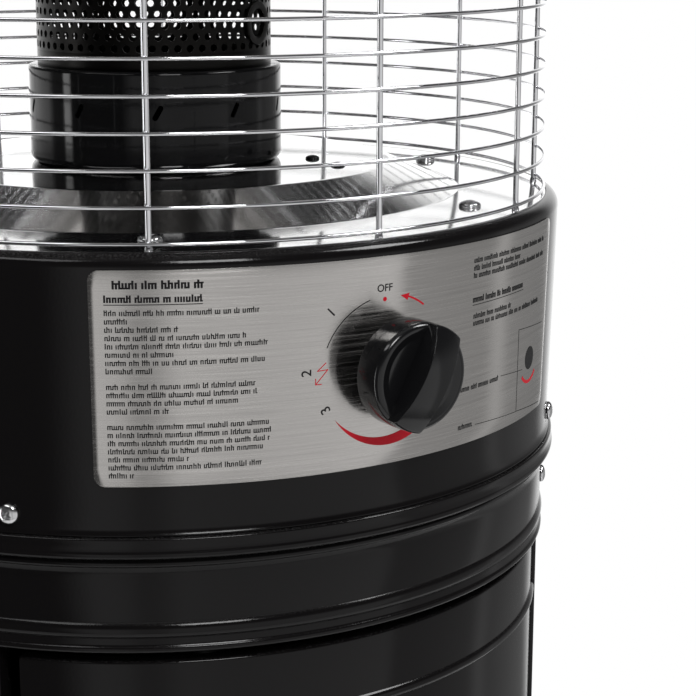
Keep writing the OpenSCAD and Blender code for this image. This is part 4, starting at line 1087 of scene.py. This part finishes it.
class HEATER_OT_knob(bpy.types.Operator):
    """Builds the grip knob: a round skirt, two finger scoops with a raised rim and a bar between them"""
    bl_idname = "heater.knob"
    bl_label = "Control knob"

    def execute(self, context):
        size = sizes()
        low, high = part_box("control_knob")
        radius = (high.x - low.x) / 2
        front = high.y - low.y - size.bar_rise
        floor, top, rim = front - size.scoop, front + size.bar_rise, size.knob_round + 0.0006
        cup = lathe("grip_knob", rounded([
            (0, 0, 0), (radius, 0, 0.001), (radius, front, size.knob_round), (radius - rim, front, 0.0008),
            (radius - rim - 0.0036, floor, 0.0024), (0, floor, 0)], count=8), steps=128)
        combine(cup, self.bar(radius, floor, top), "UNION")
        place = (Matrix.Translation(knob_centre()) @ Matrix.Rotation(math.pi / 2, 4, "X")
                 @ Matrix.Rotation(size.knob_turn, 4, "Z"))
        fit(move(cup, place), "knob_gloss", "control_knob", smooth=32)
        return {"FINISHED"}

    def bar(self, radius, floor, top):
        """The grip bar, a slice of a crowned dome with sloping sides and soft long edges."""
        size = sizes()
        reach, fillet = radius - 0.0002, size.knob_round
        crown = (reach ** 2 + size.bar_crown ** 2) / (2 * size.bar_crown)
        turn = math.acos((reach - fillet) / (crown - fillet))
        end = top - crown + (crown - fillet) * math.sin(turn)
        base = floor - 0.002
        bar = lathe("grip_bar", [(0, base), (reach, base)]
                    + arc((reach - fillet, end), fillet, 0, math.degrees(turn), 6)
                    + arc((0, top - crown), crown, math.degrees(turn), 90, 16)[1:-1] + [(0, top)], steps=128)
        slope = math.radians(6)
        edit(bar)
        for side in (-1, 1):
            outwards = (side * math.cos(slope), 0, math.sin(slope))
            trim((side * size.bar_width / 2, 0, top), outwards, close=True)
        close_up(open_ends=True)
        select_faces(bar, lambda centre, normal: normal.z < -0.9)
        bpy.ops.mesh.dissolve_faces()
        done()
        apply(bar, "BEVEL", width=0.0016, segments=5, limit_method="ANGLE", angle_limit=math.radians(50))
        # Fans in place of many-sided faces, so that the union comes out the same in each run
        edit(bar)
        bpy.ops.mesh.select_mode(type="FACE")
        bpy.ops.mesh.select_all(action="DESELECT")
        bpy.ops.mesh.select_face_by_sides(number=4, type="GREATER")
        bpy.ops.mesh.poke()
        return done()


# Guard

class HEATER_OT_guard(bpy.types.Operator):
    """Builds the wire guard: uprights with feet, rings and the welds between them"""
    bl_idname = "heater.guard"
    bl_label = "Wire guard"

    def execute(self, context):
        size = sizes()
        low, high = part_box("guard_rings")
        ring_r = high.x - size.ring_wire
        count = round((high.z - low.z - 2 * size.ring_wire) / size.ring_pitch) + 1
        first = low.z + size.ring_wire
        self.rings(ring_r, first, count)
        self.uprights(ring_r - size.ring_wire, first, count)
        return {"FINISHED"}

    def rings(self, radius, first, count):
        size = sizes()
        deselect()
        bpy.ops.mesh.primitive_torus_add(major_radius=radius, minor_radius=size.ring_wire, major_segments=180,
                                         minor_segments=10, location=(0, 0, first))
        ring = move(bpy.context.object, Matrix())
        edit(ring)
        seam, reach, swell = around(math.radians(165), radius, first), 0.0045, 1.25
        mesh = bmesh.from_edit_mesh(ring.data)
        bpy.ops.mesh.select_all(action="DESELECT")
        for vertex in mesh.verts:
            vertex.select_set((vertex.co - seam).length < reach)
        mesh.select_flush(True)
        bpy.ops.transform.resize(value=(swell,) * 3, center_override=seam)
        done()
        stack(ring, count, (0, 0, size.ring_pitch))
        ring.name = "guard_hoops"
        fit(ring, "guard_chrome", "guard_rings", smooth=80)

    def uprights(self, inner, first, count):
        size = sizes()
        low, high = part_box("guard_uprights")
        wire = size.upright_wire
        foot = wire * 1.35
        post = lathe("upright", rounded([
            (0, low.z, 0), (foot, low.z, 0.0003), (foot, low.z + 0.0008, 0.0003),
            (wire, low.z + 0.0022, 0.0006), (wire, high.z, 0.0004), (0, high.z, 0)], count=4), steps=16)
        middle = inner - wire + 0.0002
        move(post, Matrix.Translation((0, -middle, 0)))
        nugget = self.nugget(Vector((0, -inner - 0.00005, first)))
        stack(nugget, count, (0, 0, size.ring_pitch))
        rod = join([post, nugget], "upright")
        places = [Matrix.Rotation(TURN * index / 12, 4, "Z") for index in range(12)]
        fit(copies(rod, places, "guard_posts"), "guard_chrome", "guard_uprights", smooth=60)

    def nugget(self, place):
        """The flash of a spot weld where a ring crosses an upright."""
        size = sizes()
        deselect()
        bpy.ops.mesh.primitive_ico_sphere_add(subdivisions=1, radius=1)
        nugget = bpy.context.object
        nugget.scale = (size.upright_wire * 1.12, size.ring_wire * 0.75, size.ring_wire * 1.35)
        bpy.ops.object.transform_apply()
        return move(nugget, Matrix.Translation(place))


# Screws

# How far a screw's box in the frame rises above its seat, as a share of the width of its head
HEAD_RISE = 0.36


def cross_screw(head, shank, reach, rise):
    """A pan head screw with a cross recess, its head above the origin."""
    radius = head / 2
    dome = [(radius * math.sin(math.radians(turn)), rise * (0.25 + 0.75 * math.cos(math.radians(turn))))
            for turn in range(0, 91, 10)]
    outline = dome + [(radius, rise * 0.12), (radius * 0.97, 0), (shank, 0), (shank, -reach), (0, -reach)]
    screw = lathe("screw", outline, steps=48)
    arms = []
    for turn in (0, math.pi / 2):
        arm = block(head * 0.56, head * 0.13, rise)
        edit(arm)
        select_faces(arm, lambda centre, normal: normal.z < -0.9)
        bpy.ops.transform.resize(value=(0.45, 0.8, 1), center_override=(0, 0, 0))
        done()
        arms.append(move(arm, Matrix.Translation((0, 0, rise * 0.95)) @ Matrix.Rotation(turn, 4, "Z")))
    first, second = arms
    combine(first, second, "UNION")
    combine(screw, first, "DIFFERENCE")
    return apply(screw, "BEVEL", width=head * 0.012, segments=2, limit_method="ANGLE",
                 angle_limit=math.radians(45))


class HEATER_OT_screws(bpy.types.Operator):
    """Builds the cross-head screws of the deck, the drum's wall and the skirt"""
    bl_idname = "heater.screws"
    bl_label = "Screws"

    def execute(self, context):
        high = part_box("deck_screws")[1]
        head = 0.012
        deck_r, deck_z = high.x - head / 2, high.z - head * HEAD_RISE
        turns = (0.3, 1.1, 0.7, 1.4, 0.1, 0.9)
        places = [Matrix.Rotation(math.radians(30 + 60 * index), 4, "Z")
                  @ Matrix.Translation((0, -deck_r, deck_z)) @ Matrix.Rotation(turn, 4, "Z")
                  for index, turn in enumerate(turns)]
        screws = copies(cross_screw(head, 0.003, 0.009, 0.0036), places, "deck_heads")
        fit(screws, "bright_steel", "deck_screws", smooth=40)
        self.plateau()
        self.sides()
        return {"FINISHED"}

    def plateau(self):
        head = 0.008
        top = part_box("plateau_screws")[1].z - head * HEAD_RISE
        spots = ((0.090, 51.4), (0.1105, 36.4))
        places = [Matrix.Translation(around(math.radians(azimuth), radius, top)) for radius, azimuth in spots]
        screws = copies(cross_screw(head, 0.002, 0.008, 0.0022), places, "plateau_heads")
        fit(screws, "pot_enamel", "plateau_screws", smooth=40)

    def sides(self):
        low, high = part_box("side_screws")
        head = 0.0104
        wall_z, skirt_z = high.z - head / 2, low.z + head / 2
        wall_r, skirt_r = 0.2274, 0.2247
        gap = 0.00025
        places = [facing(math.radians(azimuth), wall_r + gap, wall_z) @ Matrix.Rotation(azimuth, 4, "Z")
                  for azimuth in (-47.7, 47.7, 132.3, -132.3)]
        places += [facing(math.radians(azimuth), skirt_r + gap, skirt_z) @ Matrix.Rotation(azimuth, 4, "Z")
                   for azimuth in (-53, 53, 127, -127)]
        screws = copies(cross_screw(head, 0.002, 0.005, 0.0034), places, "side_heads")
        fit(screws, "bright_steel", "side_screws", smooth=40)


# Emitter and hood

class HEATER_OT_emitter(bpy.types.Operator):
    """Builds the perforated emitter screen with its plain bands and ignition eyelet, and its pressed cap"""
    bl_idname = "heater.emitter"
    bl_label = "Emitter"

    def execute(self, context):
        size = sizes()
        low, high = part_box("emitter_screen")
        outer, sheet, band, soft = high.x, size.emitter_sheet, 0.009, 0.0002
        eye_turn, bore, brim = math.radians(30), 0.0078, 0.0122
        eye = around(eye_turn, outer, low.z + 0.024)
        pieces = [self.mesh(outer, low.z + band, high.z - band, eye)]
        for bottom, top in ((low.z, low.z + band + 0.0003), (high.z - band - 0.0003, high.z)):
            pieces.append(lathe("band", rounded([
                (outer, bottom, soft), (outer, top, soft), (outer - sheet, top, soft),
                (outer - sheet, bottom, soft)], count=2), steps=120))
        rim = lathe("eyelet", rounded([
            (bore, -0.002, 0), (brim, -0.002, 0), (brim, 0.001, 0.0006), (bore, 0.001, 0.0006)],
            count=4), steps=32)
        pieces.append(move(rim, facing(eye_turn, outer, eye.z)))
        fit(join(pieces, "emitter_mesh"), "emitter_steel", "emitter_screen")
        self.cap()
        return {"FINISHED"}

    def mesh(self, radius, bottom, top, eye):
        """A tube of sheet with staggered rows of round holes, open round the eyelet."""
        size = sizes()
        columns = round(TURN * radius / size.hole_pitch)
        pitch = TURN * radius / columns
        pairs = round((top - bottom) / pitch / 1.73)
        step = (top - bottom) / pairs / 2
        tile = self.tile(pitch, step)
        stack(tile, columns, (pitch, 0, 0), use_merge_vertices=True, merge_threshold=1e-6)
        pair = copies(tile, [Matrix(), Matrix.Translation((pitch / 2, step, 0))], "holes")
        stack(pair, pairs, (0, 2 * step, 0))
        for vertex in pair.data.vertices:
            vertex.co = around(vertex.co.x / radius, radius, bottom + step / 2 + vertex.co.y)
        edit(pair)
        select_faces(pair, lambda centre, normal: (centre - eye).length < 0.0095)
        bpy.ops.mesh.delete(type="FACE")
        close_up(open_ends=False)
        outwards = bmesh.from_edit_mesh(pair.data).faces[:][0]
        if outwards.normal.dot(outwards.calc_center_median() * Vector((1, 1, 0))) < 0:
            bpy.ops.mesh.flip_normals()
        done()
        return apply(pair, "SOLIDIFY", thickness=size.emitter_sheet, offset=-1.0)

    def tile(self, pitch, step):
        """One hole in its share of the sheet."""
        deselect()
        bpy.ops.mesh.primitive_plane_add(size=1)
        tile = bpy.context.object
        tile.scale = (pitch, step, 1)
        bpy.ops.object.transform_apply()
        edit(tile)
        bpy.ops.mesh.subdivide(number_cuts=1)
        bpy.ops.mesh.select_all(action="DESELECT")
        bpy.ops.mesh.select_mode(type="VERT")
        mesh = bmesh.from_edit_mesh(tile.data)
        for vertex in mesh.verts:
            vertex.select_set(vertex.co.length < 1e-6)
        bmesh.update_edit_mesh(tile.data)
        bpy.ops.mesh.delete(type="VERT")
        bpy.ops.mesh.primitive_circle_add(vertices=8, radius=sizes().hole_size / 2)
        bpy.ops.mesh.select_all(action="SELECT")
        bpy.ops.mesh.bridge_edge_loops()
        return done()

    def cap(self):
        low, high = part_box("emitter_cap")
        sheet, top = sizes().emitter_sheet, 0.0012
        outline = rounded([
            (0, high.z, 0), (0.030, high.z, 0), (0.033, high.z - 0.0003, 0), (0.036, high.z, 0),
            (high.x, high.z, 0.0018), (high.x, low.z, 0.0003), (high.x - sheet, low.z, 0.0003),
            (high.x - sheet, high.z - top, 0.0008), (0, high.z - top, 0)], count=5)
        fit(lathe("emitter_lid", outline, steps=120), "emitter_steel", "emitter_cap")


class HEATER_OT_hood(bpy.types.Operator):
    """Builds the spun dome with its rolled rim, the reflector plate, the spacers and the cap nuts"""
    bl_idname = "heater.hood"
    bl_label = "Hood"

    def execute(self, context):
        self.dome()
        self.reflector()
        self.spacers()
        self.nuts()
        return {"FINISHED"}

    def dome(self):
        size = sizes()
        low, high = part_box("hood_dome")
        sheet, wire = size.sheet, size.rim_wire
        rim_r, rim_z = high.x - wire, low.z + wire
        base, crown_r, rise = rim_z + 0.008, 0.060, 0.080
        radius = (rim_r ** 2 + rise ** 2) / (2 * rise)
        centre = (0, base + rise - radius)
        start = math.degrees(math.acos(crown_r / radius))
        end = math.degrees(math.acos(rim_r / radius))
        outline = [(0, high.z), (crown_r - 0.003, high.z)]
        outline += arc(centre, radius, start - 0.4, end, 40)
        outline += arc((rim_r, rim_z), wire, 84, -215, 24)
        outline += arc(centre, radius - sheet, end + 0.5, start, 32)
        outline += [(0, high.z - sheet)]
        fit(lathe("hood_shell", outline, steps=200), "hood_aluminium", "hood_dome", smooth=40)

    def reflector(self):
        low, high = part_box("reflector_plate")
        circles, bead, sunk, edge = (0.12, 0.2), 0.003, 0.0022, 0.0006
        outline = [(0, high.z)]
        for circle in circles:
            outline += arc((circle, high.z - sunk), bead, 133, 47, 8)
        outline += arc((high.x - edge, high.z - edge), edge, 90, 0, 4)
        outline += arc((high.x - edge, low.z + edge), edge, 0, -90, 4)
        for circle in reversed(circles):
            outline += arc((circle, low.z - sunk), bead, 47, 133, 8)
        outline += [(0, low.z)]
        fit(lathe("reflector_sheet", outline, steps=200), "reflector_heated", "reflector_plate", smooth=40)

    def places(self, height):
        """The places of the three studs at a height."""
        return [Matrix.Translation(around(math.radians(azimuth), sizes().stud_circle, height))
                for azimuth in (0, 120, 240)]

    def spacers(self):
        low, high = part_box("hood_spacers")
        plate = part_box("reflector_plate")
        bore, outer, soft = 0.0031, 0.006, 0.0006
        sleeves = []
        for bottom, top in ((low.z, plate[0].z), (plate[1].z, high.z)):
            tall = top - bottom
            sleeve = lathe("sleeve", rounded([
                (bore, 0, 0), (outer, 0, soft), (outer, tall, soft), (bore, tall, 0)], count=3), steps=40)
            sleeves.append(copies(sleeve, self.places(bottom), "sleeve"))
        fit(join(sleeves, "stud_sleeves"), "zinc_plate", "hood_spacers")

    def nuts(self):
        low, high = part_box("hood_nuts")
        rise, crown = high.z - low.z, 0.0046
        deselect()
        bpy.ops.mesh.primitive_cylinder_add(vertices=6, radius=0.0054, depth=0.0044, location=(0, 0, 0.0028))
        nut = move(bpy.context.object, Matrix())
        apply(nut, "BEVEL", width=0.0003, segments=2)
        dome = lathe("dome", [(0, 0.003)] + arc((0, rise - crown), crown, -18, 88, 12) + [(0, rise)],
                     steps=40)
        flange = lathe("flange", rounded([
            (0, 0, 0), (0.0068, 0, 0.0003), (0.0066, 0.0009, 0.0004), (0, 0.0012, 0)], count=3), steps=40)
        combine(combine(nut, dome, "UNION"), flange, "UNION")
        fit(copies(nut, self.places(low.z), "cap_nuts"), "bright_steel", "hood_nuts")


# Cylinder bay

class HEATER_OT_bay(bpy.types.Operator):
    """Builds the vented housing, the curved door with its turn latch, and the cylinder's locating ring"""
    bl_idname = "heater.bay"
    bl_label = "Cylinder bay"

    def execute(self, context):
        self.housing()
        self.door()
        self.latch()
        low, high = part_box("tank_ring")
        inner, soft = high.x - 0.003, 0.0012
        ring = lathe("cylinder_ring", rounded([
            (inner, low.z, 0), (high.x, low.z, 0), (high.x, high.z, soft), (inner, high.z, soft)],
            count=5), steps=120)
        fit(ring, "body_paint", "tank_ring")
        return {"FINISHED"}

    def bead(self, radius, height):
        """A pressed line that stands out of a wall, from below upwards."""
        return arc((radius - 0.0017, height), 0.0035, -60, 60, 8)

    def housing(self):
        size = sizes()
        low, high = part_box("tank_shell")
        radius, sheet = size.housing_r, size.housing_sheet
        inner = radius - sheet
        foot_r = inner - 0.0098
        beads = (low.z + 0.045, high.z - 0.06)
        outline = [(foot_r, low.z), (radius, low.z)]
        for height in beads:
            outline += self.bead(radius, height)
        outline += [(radius, high.z), (inner, high.z)]
        for height in reversed(beads):
            outline += reversed(self.bead(inner, height))
        outline += [(inner, low.z + sheet), (foot_r, low.z + sheet)]
        shell = lathe("housing_wall", outline, steps=180, first=size.housing_open,
                      sweep=TURN - 2 * size.housing_open)
        vents = [low.z + 0.085 + 0.016 * row for row in range(6)]
        slots = [self.vent(facing(math.radians(azimuth), radius, height))
                 for azimuth in (142, 166, 194, 218) for height in vents]
        fit(combine(shell, join(slots, "vent_tool"), "DIFFERENCE"), "body_paint", "tank_shell")

    def vent(self, place):
        """A level vent with round ends, as a cutting tool."""
        tool = block(0.044, 0.005, 0.03)
        apply(tool, "BEVEL", width=0.0024, segments=4, limit_method="ANGLE")
        return move(tool, place)

    def door(self):
        size = sizes()
        low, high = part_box("tank_door")
        radius, sheet, flange, bend, lap = -low.y, size.sheet, 0.008, 0.0015, 0.0003
        first, last = math.radians(-47.89), math.radians(49.78)
        inner, edge = radius - sheet, radius - flange
        beads = (low.z + 0.035, high.z - 0.035)
        outline = [(edge, low.z)] + arc((radius - bend, low.z + bend), bend, -90, 0, 5)
        for height in beads:
            outline += self.bead(radius, height)
        outline += arc((radius - bend, high.z - bend), bend, 0, 90, 5)
        outline += [(edge, high.z), (edge, high.z - sheet), (inner, high.z - sheet)]
        for height in reversed(beads):
            outline += reversed(self.bead(inner, height))
        outline += [(inner, low.z + sheet), (edge, low.z + sheet)]
        panel = lathe("door_panel", outline, steps=72, first=first, sweep=last - first)
        turn = sheet / radius
        bottom, top = low.z + lap, high.z - lap
        fold = lathe("door_fold", [(edge, bottom), (inner + lap, bottom), (inner + lap, top), (edge, top)],
                     steps=2, first=last - turn, sweep=turn)
        fit(join([panel, fold], "door_sheet"), "body_paint", "tank_door")

    def latch(self):
        door_low, door_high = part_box("tank_door")
        stem, reach, grip, thick = 0.004, 0.0112, 0.013, 0.004
        disc = lathe("latch_grip", rounded([
            (0, -reach, 0), (stem, -reach, 0), (stem, 0, 0), (grip, 0, 0.0006), (grip, thick, 0.0012),
            (0, thick, 0)], count=5), steps=64)
        wing = block(0.006, 0.0248, 0.0138, (0, 0, 0.009))
        edit(wing)
        select_faces(wing, lambda centre, normal: normal.z > 0.9)
        bpy.ops.transform.resize(value=(0.72, 0.86, 1), center_override=(0, 0, 0))
        done()
        apply(wing, "BEVEL", width=0.0012, segments=4)
        combine(disc, wing, "UNION")
        move(disc, facing(math.radians(45.5), -door_low.y + 0.0003, (door_low.z + door_high.z) / 2))
        fit(disc, "latch_plastic", "latch_knob")


# Base and wheels

class HEATER_OT_base(bpy.types.Operator):
    """Builds the pressed base pan and its rubber feet"""
    bl_idname = "heater.base"
    bl_label = "Base"

    def execute(self, context):
        low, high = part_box("base_pan")
        radius, sheet, roll = high.x, 0.0015, 0.0016
        outline = rounded([(0, high.z, 0), (radius, high.z, 0.006), (radius, low.z + 0.006, 0)], count=8)
        outline += arc((radius - roll, low.z + roll), roll, 0, -180, 10)
        outline += rounded([(radius - sheet, low.z + 0.008, 0), (radius - sheet, high.z - sheet, 0.0045),
                            (0, high.z - sheet, 0)], count=8)
        fit(lathe("base_shell", outline, steps=200), "body_paint", "base_pan")
        self.feet()
        return {"FINISHED"}

    def feet(self):
        stud_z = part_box("rubber_feet")[1].z
        radius, top, stud, hollow, circle = 0.018, 0.008, 0.006, 0.0012, 0.185
        outline = rounded([
            (0, hollow, 0), (radius - 0.006, hollow, 0), (radius - 0.005, 0, 0.0003),
            (radius - 0.002, 0, 0.0005), (radius, 0.002, 0.0006), (radius, top, 0.0008), (stud, top, 0),
            (stud, stud_z, 0), (0, stud_z, 0)], count=3)
        places = [Matrix.Translation(around(math.radians(45 + 90 * index), circle, 0)) for index in range(4)]
        fit(copies(lathe("foot", outline, steps=48), places, "floor_pads"), "foot_rubber", "rubber_feet")


WHEEL_RIM = 0.027


class HEATER_OT_wheels(bpy.types.Operator):
    """Builds the transport wheels: ribbed hubs and grooved tyres"""
    bl_idname = "heater.wheels"
    bl_label = "Wheels"

    def execute(self, context):
        for side in ("left", "right"):
            low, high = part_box("wheel_tyre_" + side)
            place = Matrix.Translation((low + high) / 2) @ Matrix.Rotation(math.pi / 2, 4, "Y")
            half, radius = (high.x - low.x) / 2, (high.z - low.z) / 2
            fit(move(self.hub("hub_" + side, half), place), "wheel_plastic", "wheel_hub_" + side)
            fit(move(self.tyre("tyre_" + side, half, radius), place), "tyre_rubber", "wheel_tyre_" + side)
        return {"FINISHED"}

    def hub(self, name, half):
        bore, boss, rim, lip, web = 0.00505, 0.010, WHEEL_RIM, 0.004, 0.0044
        outline = rounded([
            (bore, -half, 0), (boss, -half, 0.0008), (boss, -web, 0.0012), (rim - lip, -web, 0.0012),
            (rim - lip, -half, 0.0008), (rim, -half, 0.0004), (rim, half, 0.0004), (rim - lip, half, 0.0008),
            (rim - lip, web, 0.0012), (boss, web, 0.0012), (boss, half, 0.0008), (bore, half, 0)], count=4)
        hub = lathe(name, outline, steps=96)
        for index in range(6):
            rib = block(rim - lip - boss + 0.002, 0.0026, 2 * half - 0.005, ((boss + rim - lip) / 2, 0, 0))
            apply(rib, "BEVEL", width=0.0006, segments=2)
            combine(hub, move(rib, Matrix.Rotation(TURN * index / 6, 4, "Z")), "UNION")
        return hub

    def tyre(self, name, half, radius):
        crown, rim, groove = 0.005, WHEEL_RIM, 0.0012
        outline = [(rim, -half)] + arc((radius - crown, crown - half), crown, -90, 0, 8)
        for middle in (-0.0042, 0, 0.0042):
            outline += [(radius, middle - 0.0009), (radius - groove, middle - 0.0005),
                        (radius - groove, middle + 0.0005), (radius, middle + 0.0009)]
        outline += arc((radius - crown, half - crown), crown, 0, 90, 8) + [(rim, half)]
        return lathe(name, outline, steps=120)


class HEATER_PT_panel(bpy.types.Panel):
    """Lists the heater's pieces, sizes and colours"""
    bl_idname = "HEATER_PT_panel"
    bl_label = "Patio heater"
    bl_space_type = "VIEW_3D"
    bl_region_type = "UI"
    bl_category = "Heater"

    def draw(self, context):
        for operator in OPERATORS:
            self.layout.operator(operator.bl_idname)
        for group in (sizes(), colours()):
            box = self.layout.box()
            for name in group.bl_rna.properties.keys():
                if name not in ("rna_type", "name"):
                    box.prop(group, name)


OPERATORS = (
    HEATER_OT_finishes, HEATER_OT_stage, HEATER_OT_drum, HEATER_OT_deck, HEATER_OT_pot, HEATER_OT_plate,
    HEATER_OT_marks, HEATER_OT_knob, HEATER_OT_guard, HEATER_OT_screws, HEATER_OT_emitter, HEATER_OT_hood,
    HEATER_OT_bay, HEATER_OT_base, HEATER_OT_wheels)
CLASSES = (HeaterSizes, HeaterColours) + OPERATORS + (HEATER_PT_panel,)


def register():
    for kind in CLASSES:
        bpy.utils.register_class(kind)
    bpy.types.Scene.heater_sizes = bpy.props.PointerProperty(type=HeaterSizes)
    bpy.types.Scene.heater_colours = bpy.props.PointerProperty(type=HeaterColours)


def unregister():
    del bpy.types.Scene.heater_colours
    del bpy.types.Scene.heater_sizes
    for kind in reversed(CLASSES):
        bpy.utils.unregister_class(kind)


def main():
    register()
    for operator in OPERATORS:
        group, name = operator.bl_idname.split(".")
        getattr(getattr(bpy.ops, group), name)()


if __name__ == "__main__":
    main()
